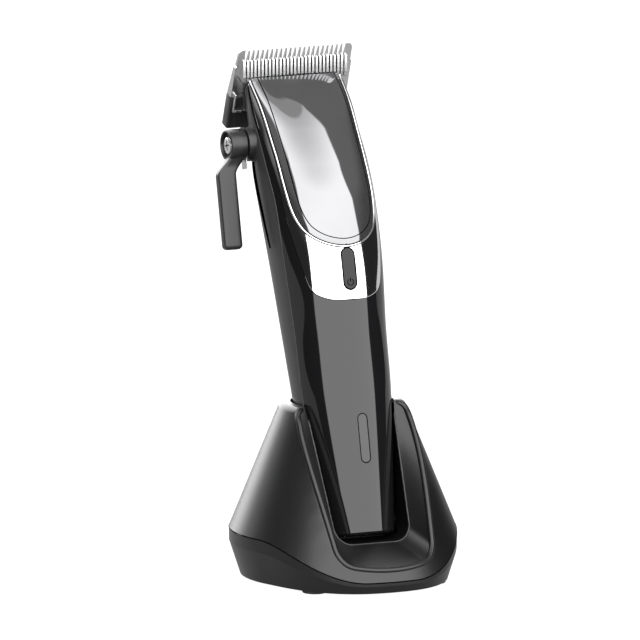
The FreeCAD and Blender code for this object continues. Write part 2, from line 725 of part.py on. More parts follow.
def make_blades():
    outline = comb_outline(comb_width, 0, -comb_length, comb_slots, comb_pitch, comb_slot_depth,
                           comb_tooth_tip, comb_tooth_root, comb_end_step)
    slab = polygon_prism(outline, (0, comb_back_thickness, 0))
    wedge = polygon_prism([(-30, 0, 0), (-30, comb_tip_thickness, 0),
                           (-30, comb_back_thickness, -comb_length), (-30, 0, -comb_length)], (60, 0, 0))
    comb = slab.common(wedge)
    screw_z = -comb_length + 3.2
    carrier_low = -comb_length - carrier_length
    carrier = box(-comb_width / 2, comb_width / 2, 0, carrier_thickness, carrier_low, -comb_length)
    carrier = carrier.makeFillet(1.6, [e for e in carrier.Edges if e.BoundBox.ZLength > carrier_length - 0.1
                                       and e.BoundBox.YMin > carrier_thickness - 0.1])
    tongue = box(-17, 17, comb_back_thickness + 0.02, comb_back_thickness + 2.0, carrier_low, screw_z + 3)
    carrier = carrier.fuse(tongue)
    arm = box(-16.4, -13.6, -8.0, 0.0, carrier_low + 0.2, carrier_low + 1.8)
    carrier = carrier.fuse(arm)
    screws = []
    for x in (-11.0, 11.0):
        hole = rod(1.5, (x, -5, screw_z), (x, 20, screw_z))
        comb = comb.cut(hole)
        carrier = carrier.cut(hole)
        back = comb_back_thickness + 2.0
        screw = rod(1.4, (x, 0.4, screw_z), (x, back, screw_z))
        screw = screw.fuse(rod(2.7, (x, back, screw_z), (x, back + 1.3, screw_z)))
        cross = box(x - 1.6, x + 1.6, back + 0.5, back + 2, screw_z - 0.3, screw_z + 0.3)
        cross = cross.fuse(box(x - 0.3, x + 0.3, back + 0.5, back + 2, screw_z - 1.6, screw_z + 1.6))
        screws.append(screw.cut(cross))

    tip = -cutter_tip
    outline = comb_outline(cutter_width, tip, tip - cutter_length, cutter_slots, cutter_pitch,
                           cutter_slot_depth, cutter_tooth_tip, cutter_tooth_root)
    thick = cutter_thickness
    slab = polygon_prism(outline, (0, -thick, 0))
    wedge = polygon_prism([(-30, 0, tip), (-30, -cutter_tip_thickness, tip),
                           (-30, -thick, tip - cutter_bevel), (-30, -thick, tip - cutter_length),
                           (-30, 0, tip - cutter_length)], (60, 0, 0))
    cutter = slab.common(wedge)
    cutter.translate(V(0, -blade_gap, 0))

    keep("fixed_blade", biggest(comb), lean.multiply(blade_place))
    keep("blade_carrier", biggest(carrier), lean.multiply(blade_place))
    keep("blade_screws", Part.Compound(screws), lean.multiply(blade_place))
    keep("cutter_blade", biggest(cutter), lean.multiply(blade_place))


# ---- taper lever --------------------------------------------------------------------
def make_lever():
    y, z = hub_centre
    hub = rod(hub_radius, (hub_outer_x, y, z), (hub_inner_x, y, z))
    x0, x1 = paddle_x
    thick = paddle_thickness
    top_z, low_z = z - 8.5, z - paddle_drop
    half = thick / 2
    outline = [(x1 + 0.2, y - half, top_z + 0.01), (x0, y - half, top_z),
               (x0, y - half, low_z + 1.5), (x0 + 1.2, y - half, low_z),
               (x1, y - half, low_z), (x1 + 1.2, y - half, low_z + 1.5)]
    paddle = polygon_prism(outline, (0, thick, 0))
    neck_outline = [(hub_outer_x, y - half, z), (hub_outer_x, y - half, z - hub_radius + 0.6),
                    (x0, y - half, top_z), (x1 + 0.2, y - half, top_z),
                    (hub_inner_x, y - half, z - hub_radius + 0.4), (hub_inner_x, y - half, z)]
    neck = polygon_prism(neck_outline, (0, thick, 0))
    recess = rod(3.9, (hub_outer_x - 1, y, z), (hub_outer_x + 1.6, y, z))
    bore = rod(1.6, (hub_outer_x - 1, y, z), (hub_inner_x + 1, y, z))
    lever = hub.fuse(paddle).fuse(neck).cut(recess).cut(bore)

    shaft = rod(lever_shaft_radius, (hub_inner_x, y, z), (lever_shaft_inner_x - 2.6, y, z))
    shaft = shaft.cut(rod(1.6, (hub_inner_x - 1, y, z), (hub_inner_x + 8, y, z)))
    cam = rod(2.9, (-15.9, y, z), (lever_shaft_inner_x, y, z))
    shaft = shaft.fuse(cam)

    head = rod(3.0, (hub_outer_x + 0.5, y, z), (hub_outer_x + 1.6, y, z))
    screw = head.fuse(rod(1.5, (hub_outer_x + 1.6, y, z), (hub_inner_x + 6.5, y, z)))
    cross = box(hub_outer_x, hub_outer_x + 1.1, y - 1.8, y + 1.8, z - 0.35, z + 0.35)
    cross = cross.fuse(box(hub_outer_x, hub_outer_x + 1.1, y - 0.35, y + 0.35, z - 1.8, z + 1.8))
    screw = screw.cut(cross)

    tab = box(hub_inner_x, hub_inner_x + 0.3, y - 2.2, y + 2.2, z - 9.0, z - 3.0)
    tab = tab.cut(rod(lever_shaft_radius + 0.4, (-40, y, z), (-10, y, z)))
    keep("taper_lever", biggest(lever), lean)
    keep("lever_shaft", shaft, lean)
    keep("lever_screw", screw, lean)
    keep("lever_detent_spring", tab, lean)


make_dock()
make_casing()
make_controls()
make_drive()
make_blades()
make_lever()

os.makedirs("parts", exist_ok=True)
for name, shape in parts.items():
    if not shape.isValid():
        print("not valid:", name)
    shape.exportStep("parts/" + name + ".step")
    print(name, len(shape.Solids), round(shape.Volume / 1000, 2), "cm3")
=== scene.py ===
import json
import math

import bmesh
import bpy
import numpy as np
from mathutils import Matrix, Vector


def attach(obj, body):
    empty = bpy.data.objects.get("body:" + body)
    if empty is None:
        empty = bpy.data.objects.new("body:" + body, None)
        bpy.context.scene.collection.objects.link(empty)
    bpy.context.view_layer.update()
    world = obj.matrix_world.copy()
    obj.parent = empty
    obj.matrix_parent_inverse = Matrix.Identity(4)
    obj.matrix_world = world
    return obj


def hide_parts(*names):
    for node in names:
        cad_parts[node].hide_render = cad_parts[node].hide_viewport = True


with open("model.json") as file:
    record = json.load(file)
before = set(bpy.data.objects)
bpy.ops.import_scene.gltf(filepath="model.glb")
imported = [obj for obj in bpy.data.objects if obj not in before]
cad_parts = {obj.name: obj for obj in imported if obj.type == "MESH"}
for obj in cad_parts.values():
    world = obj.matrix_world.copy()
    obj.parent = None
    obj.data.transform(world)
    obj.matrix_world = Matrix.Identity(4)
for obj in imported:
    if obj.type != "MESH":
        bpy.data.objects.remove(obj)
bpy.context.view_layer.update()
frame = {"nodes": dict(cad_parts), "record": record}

MM = 0.001

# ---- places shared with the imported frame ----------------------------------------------
JOINTS = {j["name"]: j for j in frame["record"]["behaviour"]["joints"]}
UP = Vector(JOINTS["lift_out"]["axis"]).normalized()      # the clipper's own long axis
LEAN = math.atan2(UP.y, UP.z)
DOCK_FORWARD = 5.33
FOOT = 1.1
CLIPPER_FOOT = Vector((0.0, -12.5 - DOCK_FORWARD, 14.9 + FOOT))
BLADE_TIP = (13.7, 179.1)
BLADE_LEAN = math.radians(32.7)

CLIPPER = (Matrix.Scale(MM, 4) @ Matrix.Translation(CLIPPER_FOOT) @ Matrix.Rotation(-LEAN, 4, "X"))
BLADE = CLIPPER @ Matrix.Translation((0, BLADE_TIP[0], BLADE_TIP[1])) @ Matrix.Rotation(BLADE_LEAN, 4, "X")
DOCK = Matrix.Scale(MM, 4) @ Matrix.Translation((0, -DOCK_FORWARD, FOOT))


# ---- mesh building --------------------------------------------------------------------
def mesh_piece(name, verts, faces, place, body, replaced=(), material=None, smooth=30.0):
    """Mesh object from millimetre points in the given frame, riding on a body."""
    data = bpy.data.meshes.new(name)
    data.from_pydata([tuple(place @ Vector(v)) for v in verts], [], faces)
    obj = bpy.data.objects.new(name, data)
    bpy.context.scene.collection.objects.link(obj)
    clean(obj, 1e-7)
    data.shade_smooth()
    data.set_sharp_from_angle(angle=math.radians(smooth))
    if material:
        data.materials.append(material)
    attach(obj, body)
    if replaced:
        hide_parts(*replaced)
    return obj


def clean(obj, distance):
    """Merges points that coincide, removes slivers and turns all faces outwards."""
    bm = bmesh.new()
    bm.from_mesh(obj.data)
    bmesh.ops.remove_doubles(bm, verts=bm.verts, dist=distance)
    bmesh.ops.dissolve_degenerate(bm, edges=bm.edges, dist=distance)
    bmesh.ops.recalc_face_normals(bm, faces=bm.faces)
    bm.to_mesh(obj.data)
    bm.free()


def grid_faces(rows, cols, start=0, closed=False, flip=False):
    """Quads over a grid of points; a closed grid joins its last column to its first."""
    faces = []
    span = cols if closed else cols - 1
    for i in range(rows - 1):
        for j in range(span):
            k = (j + 1) % cols
            quad = (start + i * cols + j, start + i * cols + k,
                    start + (i + 1) * cols + k, start + (i + 1) * cols + j)
            faces.append(quad[::-1] if flip else quad)
    return faces


def slab_mesh(outer, inner, skip_first_col=0):
    """Closed sheet between two grids of points; the first rows of column 0 may stay open."""
    rows, cols = outer.shape[:2]
    verts = np.concatenate([outer.reshape(-1, 3), inner.reshape(-1, 3)])
    base = rows * cols
    faces = grid_faces(rows, cols) + grid_faces(rows, cols, base, flip=True)
    for i in range(rows - 1):
        a, b = i * cols, (i + 1) * cols
        if i >= skip_first_col:
            faces.append((a, b, b + base, a + base))
        c, d = a + cols - 1, b + cols - 1
        faces.append((d, c, c + base, d + base))
    for j in range(cols - 1):
        faces.append((j + 1, j, j + base, j + 1 + base))
        e = (rows - 1) * cols + j
        faces.append((e, e + 1, e + 1 + base, e + base))
    return verts, faces


def smooth01(t):
    """Smooth step from 0 to 1."""
    t = np.clip(t, 0, 1)
    return t * t * (3 - 2 * t)


def ramp(count, edge_a=True, edge_b=True, length=20.0, radius=0.3):
    """Fractions from 0 to 1, packed close to the edges that get rounded."""
    near = np.array([0.0, 0.04, 0.13, 0.28, 0.5, 0.75, 1.0]) * radius / length
    middle = np.linspace(0, 1, count)
    keep = middle[(middle > (1.4 * radius / length if edge_a else -1))
                  & (middle < (1 - 1.4 * radius / length if edge_b else 2))]
    parts = []
    if edge_a:
        parts.append(near)
    parts.append(keep)
    if edge_b:
        parts.append(1 - near[::-1])
    return np.concatenate(parts)


def round_drop(distance, radius):
    """How far a rounded edge falls below its face at a distance from the edge."""
    d = np.clip(distance, 0, radius)
    return radius - np.sqrt(np.maximum(radius ** 2 - (radius - d) ** 2, 0))


# ---- the clipper's body surface -------------------------------------------------------
ROUNDNESS = 2.12
BODY_END = 171.0
# height, front y, widest y, back y, half width, parting line y
STATIONS = (
    (0.0, -15.0, 0.3, 15.0, 13.5, -3.0),
    (51.0, -15.1, 1.5, 17.8, 17.9, -2.8),
    (75.0, -14.9, 3.5, 21.2, 18.9, -2.5),
    (100.0, -15.5, 5.2, 23.6, 20.3, -1.9),
    (121.5, -11.8, 8.2, 26.4, 21.2, 0.0),
    (135.0, -6.9, 11.0, 28.0, 21.3, 4.2),
    (148.0, -0.9, 13.5, 28.5, 20.4, 9.8),
    (156.0, 3.6, 15.5, 28.0, 20.2, 13.3),
    (162.0, 7.9, 17.5, 27.5, 19.7, 16.0),
    (BODY_END, 17.0, 21.5, 28.0, 18.9, 20.0),
)
# half width and height along the lower edge of the bright cover, and of the shield in it
COVER_EDGE = ((0.0, 85.0), (7.5, 85.5), (13.0, 88.8), (15.5, 98.0), (17.6, 113.5), (18.5, 132.8),
              (19.6, 152.0))
SHIELD_EDGE = ((0.0, 105.0), (8.0, 107.0), (13.4, 112.0), (16.0, 121.3), (16.7, 141.0), (17.3, 169.0))


def hermite(knots, at):
    """Smooth curve through knots, as columns, at the given first-column values."""
    knots = np.array(knots, float)
    z = knots[:, 0]
    slope = np.empty_like(knots)
    slope[1:-1] = (knots[2:] - knots[:-2]) / (z[2:] - z[:-2])[:, None]
    slope[0] = (knots[1] - knots[0]) / (z[1] - z[0])
    slope[-1] = (knots[-1] - knots[-2]) / (z[-1] - z[-2])
    i = np.clip(np.searchsorted(z, at, "right") - 1, 0, len(z) - 2)
    span = (z[i + 1] - z[i])[:, None]
    t = ((at - z[i])[:, None]) / span
    return (knots[i] * (1 + t * t * (2 * t - 3)) + knots[i + 1] * t * t * (3 - 2 * t)
            + slope[i] * span * t * (1 - t) ** 2 + slope[i + 1] * span * t * t * (t - 1))


FINE_Z = np.linspace(0, BODY_END, 1400)
FINE = hermite(STATIONS, FINE_Z)


def body_at(z, column):
    return np.interp(z, FINE_Z, FINE[:, column])


def front_y(x, z):
    w, mid = body_at(z, 4), body_at(z, 2)
    depth = mid - body_at(z, 1)
    k = np.clip(1 - np.abs(x / w) ** ROUNDNESS, 1e-6, 1)
    return mid - depth * k ** (1 / ROUNDNESS)


def ring_point(phi, z):
    """Point on the section at height z; phi is 0 in front, 90 at the side, 180 behind."""
    w, mid = body_at(z, 4), body_at(z, 2)
    s, c = np.sin(phi), np.cos(phi)
    depth = np.where(c > 0, mid - body_at(z, 1), body_at(z, 3) - mid)
    x = w * np.sign(s) * np.abs(s) ** (2 / ROUNDNESS)
    y = mid - depth * np.sign(c) * np.abs(c) ** (2 / ROUNDNESS)
    return np.stack([x, y, z + 0 * x], -1)


def phi_of_x(x, z):
    return np.arcsin(np.clip(np.abs(x) / body_at(z, 4), 0, 1) ** (ROUNDNESS / 2))


def phi_parting(z):
    mid = body_at(z, 2)
    share = (mid - body_at(z, 5)) / (mid - body_at(z, 1))
    return np.arccos(np.clip(share, 0, 1) ** (ROUNDNESS / 2))


def body_level(p):
    x, y, z = p[..., 0], p[..., 1], p[..., 2]
    mid = body_at(z, 2)
    depth = np.where(y < mid, mid - body_at(z, 1), body_at(z, 3) - mid)
    return np.abs(x / body_at(z, 4)) ** ROUNDNESS + np.abs((y - mid) / depth) ** ROUNDNESS


def body_normal(p):
    grad = np.empty_like(p)
    for k, step in enumerate((0.05, 0.05, 0.4)):
        d = np.zeros(3)
        d[k] = step
        grad[..., k] = (body_level(p + d) - body_level(p - d)) / (2 * step)
    return grad / np.linalg.norm(grad, axis=-1, keepdims=True)


def behind_blade(p):
    """How far clipper-frame points lie behind the blade's cutting face."""
    dy, dz = p[..., 1] - BLADE_TIP[0], p[..., 2] - BLADE_TIP[1]
    return dy * math.cos(BLADE_LEAN) + dz * math.sin(BLADE_LEAN)


# the slanted cut of the head steps back from the blade between two depths
HEAD_FRONT = -3.25
HEAD_REAR = -0.35
HEAD_STEP = (24.0, 25.5)
HEAD_SEARCH_FROM = 120.0


def head_top(phi):
    """Height at which the column of the section at phi meets the slanted cut of the head."""
    low, high = np.full_like(phi, HEAD_SEARCH_FROM), np.full_like(phi, BODY_END)
    for _ in range(40):
        z = (low + high) / 2
        p = ring_point(phi, z)
        over = behind_blade(p) > np.interp(p[..., 1], HEAD_STEP, (HEAD_FRONT, HEAD_REAR))
        high, low = np.where(over, z, high), np.where(over, low, z)
    return (low + high) / 2


def front_top(x):
    """Top edge of the front: a shallow hollow between two corners."""
    return 168.5 + 0.35 * np.abs(x / 17.5) ** 2


def edge_curve(points, count, top):
    """Half of a U-shaped outline, from its lowest point on the centre line up to the top."""
    pts = np.array(points, float)
    pts = np.vstack([[-pts[1, 0], pts[1, 1]], pts])
    chord = np.concatenate([[0], np.cumsum(np.linalg.norm(np.diff(pts, axis=0), axis=1))])
    curve = hermite(np.column_stack([chord, pts]), np.linspace(chord[1], chord[-1], 900))[:, 1:]
    if curve[-1, 1] < top:
        curve = np.vstack([curve, [curve[-1, 0], top]])
    below = curve[:, 1] <= top
    curve = np.vstack([curve[below], [np.interp(top, curve[:, 1], curve[:, 0]), top]])
    length = np.concatenate([[0], np.cumsum(np.linalg.norm(np.diff(curve, axis=0), axis=1))])
    t = np.linspace(0, length[-1], count)
    return np.column_stack([np.interp(t, length, curve[:, 0]), np.interp(t, length, curve[:, 1])])


def on_front(x, z):
    """Points on the front of the body, kept just inside its widest line."""
    limit = body_at(z, 4) * 0.9985
    x = np.clip(x, -limit, limit)
    return np.stack([x, front_y(x, z), z], -1)


def mirror_x(points):
    flipped = points.copy()
    flipped[..., 0] *= -1
    return flipped


def lifted(points, lift):
    return points + body_normal(points) * lift[..., None]


def panel(name, points, drop, thickness, body, replaced, material):
    """Sheet that follows the body's surface, sunk by drop and with the given thickness."""
    outer = lifted(points, -drop)
    inner = lifted(points, np.full(points.shape[:2], -thickness))
    verts, faces = slab_mesh(outer, inner)
    return mesh_piece(name, verts, faces, CLIPPER, body, replaced, material)


# ---- materials ------------------------------------------------------------------------
def node(tree, kind, **inputs):
    """New shader node with some of its inputs set; an underscore stands for a space."""
    n = tree.nodes.new(kind)
    for key, value in inputs.items():
        n.inputs[key.replace("_", " ")].default_value = value
    return n


def finish(name, colour, rough, metal=0.0, grain=900.0, depth=0.02, mottle=0.08, spread=0.06,
           stretch=(1, 1, 1), specular=0.5):
    """Plastic or metal with fine grain in its bump, and slow changes of tone and roughness."""
    mat = bpy.data.materials.new(name)
    mat.use_nodes = True
    tree = mat.node_tree
    shader = tree.nodes["Principled BSDF"]
    coords = tree.nodes.new("ShaderNodeTexCoord")
    scaled = node(tree, "ShaderNodeMapping", Scale=stretch)
    tree.links.new(coords.outputs["Object"], scaled.inputs["Vector"])
    fine = node(tree, "ShaderNodeTexNoise", Scale=grain, Detail=3.0)
    slow = node(tree, "ShaderNodeTexNoise", Scale=60.0, Detail=4.0)
    tree.links.new(scaled.outputs["Vector"], fine.inputs["Vector"])
    tree.links.new(coords.outputs["Object"], slow.inputs["Vector"])
    tone = tree.nodes.new("ShaderNodeMix")
    tone.data_type = "RGBA"
    tone.inputs["A"].default_value = (*[c * (1 - mottle) for c in colour], 1)
    tone.inputs["B"].default_value = (*[min(1, c * (1 + mottle)) for c in colour], 1)
    tree.links.new(slow.outputs["Fac"], tone.inputs["Factor"])
    tree.links.new(tone.outputs["Result"], shader.inputs["Base Color"])
    level = node(tree, "ShaderNodeMapRange", To_Min=max(0.02, rough - spread), To_Max=rough + spread)
    tree.links.new(fine.outputs["Fac"], level.inputs["Value"])
    tree.links.new(level.outputs["Result"], shader.inputs["Roughness"])
    bump = node(tree, "ShaderNodeBump", Strength=depth, Distance=0.0002)
    tree.links.new(fine.outputs["Fac"], bump.inputs["Height"])
    tree.links.new(bump.outputs["Normal"], shader.inputs["Normal"])
    shader.inputs["Metallic"].default_value = metal
    shader.inputs["Specular IOR Level"].default_value = specular
    return mat


MATS = {
    "black_gloss": finish("black_gloss", (0.006, 0.006, 0.0065), 0.03, depth=0.0, mottle=0.15,
                          spread=0.01),
    "dark_chrome": finish("dark_chrome", (0.22, 0.22, 0.224), 0.05, metal=0.88, depth=0.0, spread=0.01),
    "bright_chrome": finish("bright_chrome", (0.9, 0.9, 0.905), 0.05, metal=1.0, depth=0.0, spread=0.01),
    "grey_satin": finish("grey_satin", (0.022, 0.022, 0.0225), 0.34, depth=0.05, grain=2600),
    "black_satin": finish("black_satin", (0.0025, 0.0025, 0.0026), 0.34, depth=0.012, grain=2600,
                          spread=0.03),
    "lever_black": finish("lever_black", (0.009, 0.009, 0.0093), 0.36, depth=0.05, grain=2600),
    "blade_steel": finish("blade_steel", (0.62, 0.62, 0.63), 0.26, metal=1.0, depth=0.05,
                          grain=1500, stretch=(0.08, 1, 1)),
    "steel": finish("steel", (0.55, 0.55, 0.56), 0.28, metal=1.0, depth=0.04, grain=1500),
    "dark_holder": finish("dark_holder", (0.008, 0.008, 0.0083), 0.36, depth=0.05, grain=2600),
    "white_plastic": finish("white_plastic", (0.7, 0.7, 0.68), 0.45),
    "rubber_black": finish("rubber_black", (0.02, 0.02, 0.02), 0.7, depth=0.1, grain=1800),
    "board_green": finish("board_green", (0.02, 0.11, 0.05), 0.35),
    "cell_wrap": finish("cell_wrap", (0.05, 0.16, 0.3), 0.2),
    "gold_contact": finish("gold_contact", (0.8, 0.6, 0.28), 0.25, metal=1.0),
    "lens_smoke": finish("lens_smoke", (0.02, 0.02, 0.022), 0.08),
    "button_grey": finish("button_grey", (0.01, 0.01, 0.0105), 0.35, depth=0.05, grain=2600,
                          specular=0.3),
    "ballast": finish("ballast", (0.2, 0.2, 0.2), 0.5, metal=1.0),
    "comb_steel": finish("comb_steel", (0.62, 0.62, 0.625), 0.24, metal=1.0, depth=0.04,
                         grain=1500, stretch=(0.1, 1, 1)),
    "comb_shade_steel": finish("comb_shade_steel", (0.14, 0.14, 0.142), 0.4, metal=1.0, depth=0.03, grain=1500),
    # flat black for painted shade in gaps, grooves, seams and recesses; the power mark uses it as print
    "shadow_gap": finish("shadow_gap", (0.001, 0.001, 0.001), 0.9, specular=0.0),
    "screw_steel": finish("screw_steel", (0.8, 0.8, 0.8), 0.2, metal=1.0),
}
SLOTS = {s["node"]: s["material_slot"] for s in frame["record"]["subparts"]}


def dress_cad_nodes():
    """Gives each CAD node the finish of its material slot."""
    for name, obj in frame["nodes"].items():
        mat = MATS[SLOTS[name]]
        if obj.data.materials:
            for i in range(len(obj.data.materials)):
                obj.data.materials[i] = mat
        else:
            obj.data.materials.append(mat)


# ---- clipper casing -------------------------------------------------------------------
CASING_WALL = 1.6
EDGE_ROUND = 0.28
SHELL_FOOT = 0.25            # lower edge of both shells
FOOT_ROUND = 0.7
SEAM_GAP = 0.004             # half the gap between the two shells, in radians
SHIELD_TOP = 169.0
SHIELD_THICK = 0.9
SHIELD_LIFT = 0.2            # the shield stands proud of the body's surface
SHIELD_ROUND = 0.12
PILLOW_DEPTH = 0.2           # the shield sinks towards its border
PILLOW_WIDTH = 2.2
RIM_WIDTH = 0.95
RIM_GAP = 0.24
RIM_BEAD = 0.36
RIM_SUNK = 0.12
SHIELD_GROOVE_SHADE = (-2.35, -2.0)       # places of a dark band inside the shield's edge, painted shade standing for its groove
COVER_TOP = 169.2
COVER_SIDE_GAP = 0.35
BUTTON_CUT = 0.4
LENS_CUT = 0.26


def half_outline_to_full(curve):
    """Both halves of a U-shaped outline, from its left end to its right end."""
    left = curve[::-1].copy()
    left[:, 0] *= -1
    return np.vstack([left[:-1], curve])


def make_shield():
    curve = edge_curve(SHIELD_EDGE, 150, SHIELD_TOP)
    cols = 2 * ramp(60, length=34, radius=EDGE_ROUND) - 1
    x = curve[:, 0][:, None] * cols[None, :]
    even = np.linspace(curve[0, 1], curve[-1, 1], len(curve))
    z = even[:, None] + (curve[:, 1] - even)[:, None] * (np.abs(cols) ** 1.5)[None, :]
    rise = np.linspace(0, 1, len(curve))[:, None] ** 6
    z = z + rise * (front_top(x) - SHIELD_TOP)
    points = on_front(x, z)
    outline = half_outline_to_full(edge_curve(SHIELD_EDGE, 400, 175.0))
    flat = np.stack([x, z], -1).reshape(-1, 1, 2)
    far = np.sqrt(((flat - outline[None, :, :]) ** 2).sum(-1)).min(1).reshape(x.shape)
    pillow = PILLOW_DEPTH * np.clip(1 - far / PILLOW_WIDTH, 0, 1) ** 2
    drop = pillow + round_drop(far, SHIELD_ROUND) - SHIELD_LIFT
    panel("head_shield_panel", points, drop, SHIELD_THICK, "clipper", ["head_shield"],
          MATS["dark_chrome"])


def strip(inner, outer, cols):
    """Grid of points between two lines, with a column at each fraction in cols."""
    return inner[:, None, :] * (1 - cols)[None, :, None] + outer[:, None, :] * cols[None, :, None]


def top_follow(flat, top):
    """Bends the top rows of a strip so that both ends follow the head's front edge."""
    t = np.abs(np.linspace(-1, 1, len(flat)))[:, None] ** 12
    flat = flat.copy()
    flat[..., 1] += t * (front_top(flat[..., 0]) - top)
    return flat


def widened(curve, amount):
    """The outline moved outwards by a fixed width along its own normal."""
    tangent = np.gradient(curve, axis=0)
    tangent /= np.linalg.norm(tangent, axis=1, keepdims=True)
    normal = np.column_stack([tangent[:, 1], -tangent[:, 0]])
    moved = curve + normal * amount
    moved[0, 0] = 0.0
    return moved


def rim_band(name, near, away, drops, thick, replaced, material):
    """Band that follows the shield's edge, from near to away millimetres outside it."""
    edge = edge_curve(SHIELD_EDGE, 170, SHIELD_TOP)
    cols = np.linspace(0, 1, len(drops))
    inner, outer = (half_outline_to_full(widened(edge, d)) for d in (near, away))
    flat = top_follow(strip(inner, outer, cols), SHIELD_TOP)
    points = on_front(flat[..., 0], flat[..., 1])
    panel(name, points, drops[None, :] + 0 * points[..., 0], thick, "clipper", replaced, material)


def make_rim():
    cols = np.linspace(0, 1, 13)
    bead = RIM_BEAD * np.sqrt(np.clip(1 - (2 * cols - 1) ** 2, 0, 1)) - RIM_SUNK
    rim_band("shield_rim_bead", RIM_GAP, RIM_WIDTH, -bead, 0.8, ["shield_rim"], MATS["bright_chrome"])
    # dark band on the shield: painted shade standing for its groove
    groove_shade = np.full(5, -SHIELD_LIFT - 0.015)
    rim_band("shield_groove_shade", *SHIELD_GROOVE_SHADE, groove_shade, 0.3, (), MATS["shadow_gap"])
    # dark sheet under the gap round the rim: painted shade of the gap
    rim_band("shield_rim_gap_shade", 0.0, RIM_WIDTH + RIM_GAP, np.full(5, 0.1), 0.5, (), MATS["shadow_gap"])


def cover_outline(count):
    """Half of the cover's outer edge, which stops short of the line between the shells."""
    curve = edge_curve(COVER_EDGE, count, COVER_TOP)
    edge = ring_point(phi_parting(curve[:, 1]), curve[:, 1])[:, 0] - COVER_SIDE_GAP
    curve[:, 0] = np.minimum(curve[:, 0], edge)
    return curve


def make_cover():
    inner = widened(edge_curve(SHIELD_EDGE, 170, SHIELD_TOP), RIM_WIDTH + RIM_GAP - 0.02)
    outer = cover_outline(170)
    cols = ramp(22, length=8, radius=EDGE_ROUND)
    flat = top_follow(strip(half_outline_to_full(inner), half_outline_to_full(outer), cols), 169.1)
    points = on_front(flat[..., 0], flat[..., 1])
    width = np.linalg.norm(points[:, 0] - points[:, -1], axis=-1)
    drop = round_drop((1 - cols)[None, :] * width[:, None], EDGE_ROUND)
    cover = panel("chrome_cover_shell", points, drop, CASING_WALL, "clipper", ["chrome_cover"],
                  MATS["bright_chrome"])
    cut_pill(cover, BUTTON, BUTTON_CUT)


def make_front_shell():
    """Both sides of the front shell, from its foot up round the cover's edge."""
    low, seam, straight = SHELL_FOOT, COVER_EDGE[0][1], 110
    edge = widened(cover_outline(170), 0.12)
    z_in = np.concatenate([np.linspace(low, seam - 0.4, straight), edge[:, 1]])
    x_in = np.concatenate([np.zeros(straight), edge[:, 0]])
    z_out = np.concatenate([z_in[:straight], np.linspace(seam, edge[-1, 1], len(edge))])
    phi_in = phi_of_x(x_in, z_in)
    cols = ramp(46, edge_a=False, length=20, radius=EDGE_ROUND)
    z = z_in[:, None] * (1 - cols) + z_out[:, None] * cols
    phi_out = np.maximum(phi_parting(z_out) - SEAM_GAP, phi_in + SEAM_GAP / 2)
    phi = phi_in[:, None] * (1 - cols) + phi_out[:, None] * cols
    points = ring_point(phi, z)
    arc = np.linalg.norm(points[:, -1] - points[:, 0], axis=-1)
    drop = round_drop((1 - cols)[None, :] * np.maximum(arc, 0.5)[:, None], EDGE_ROUND)
    drop += round_drop(z - low, FOOT_ROUND)
    outer = lifted(points, -drop)
    inner = lifted(points, np.full(points.shape[:2], -CASING_WALL))
    verts, faces = slab_mesh(outer, inner, skip_first_col=straight)
    count = len(verts)
    both = np.vstack([verts, mirror_x(verts)])
    faces = faces + [tuple(i + count for i in reversed(f)) for f in faces]
    shell = mesh_piece("front_shell_panel", both, faces, CLIPPER, "clipper", ["front_shell"],
                       MATS["black_gloss"])
    cut_pill(shell, LENS, LENS_CUT)


def make_end_cap():
    """Plate that closes the body's foot, set inside the two shells."""
    turn = np.linspace(-math.pi, math.pi, 121)[:-1]
    loops = []
    seat = CASING_WALL + 0.03
    for z, inset in ((0.02, 2.4), (0.05, 2.0), (0.3, seat), (2.2, seat)):
        ring = ring_point(turn, np.full(len(turn), z))
        loops.append(ring - body_normal(ring) * np.array([1, 1, 0]) * inset)
    verts, faces = loops_mesh(np.array(loops))
    mesh_piece("foot_plate", verts, faces, CLIPPER, "clipper", ["end_cap"], MATS["black_satin"])


# height, middle y and half width of the painted shade of the groove in the left side
GROOVE_SHADE_STRIPE = ((106.5, 6.6, 0.75), (120.0, 10.0, 1.5), (138.6, 15.6, 3.0))


def make_side_groove_shade():
    """Tapered black sheet down the left side of the back shell from the lever's boss, painted shade
    standing for a groove.
    """
    heights, middles, halves = zip(*GROOVE_SHADE_STRIPE)
    rows = np.linspace(heights[0], heights[-1], 60)
    middle, half = np.interp(rows, heights, middles), np.interp(rows, heights, halves)
    y = middle[:, None] + half[:, None] * np.linspace(-1, 1, 13)[None, :]
    z = rows[:, None] + 0 * y
    mid = body_at(z, 2)
    ahead = y < mid
    depth = np.where(ahead, mid - body_at(z, 1), body_at(z, 3) - mid)
    share = np.clip(np.abs(mid - y) / depth, 0, 1) ** (ROUNDNESS / 2)
    phi = np.where(ahead, np.arccos(share), math.pi - np.arccos(share))
    points = ring_point(-phi, z)
    outer = lifted(points, np.full(y.shape, 0.03))
    inner = lifted(points, np.full(y.shape, -0.4))
    verts, faces = slab_mesh(outer, inner)
    mesh_piece("side_groove_shade", verts, faces, CLIPPER, "clipper", (), MATS["shadow_gap"])


def make_back_shell():
    """Shell from one parting line round the back to the other, up to the head's slanted cut."""
    turn = ramp(110, length=60, radius=EDGE_ROUND)
    rows = ramp(150, length=160, radius=EDGE_ROUND, edge_b=False)
    side_top = head_top(np.full(1, math.radians(72)))
    start = phi_parting(side_top)[0]
    guess = start + (2 * math.pi - 2 * start) * turn
    top = head_top(np.minimum(guess, 2 * math.pi - guess))
    z = SHELL_FOOT + (top - SHELL_FOOT)[None, :] * rows[:, None]
    first = phi_parting(z) + SEAM_GAP
    phi = first + (2 * math.pi - 2 * first) * turn[None, :]
    drop = round_drop(np.minimum(turn, 1 - turn) * 60.0, EDGE_ROUND)[None, :] + 0 * phi
    drop += round_drop(z - SHELL_FOOT, FOOT_ROUND)
    panel("back_shell_panel", ring_point(phi, z), drop, CASING_WALL, "clipper", ["back_shell"],
          MATS["grey_satin"])


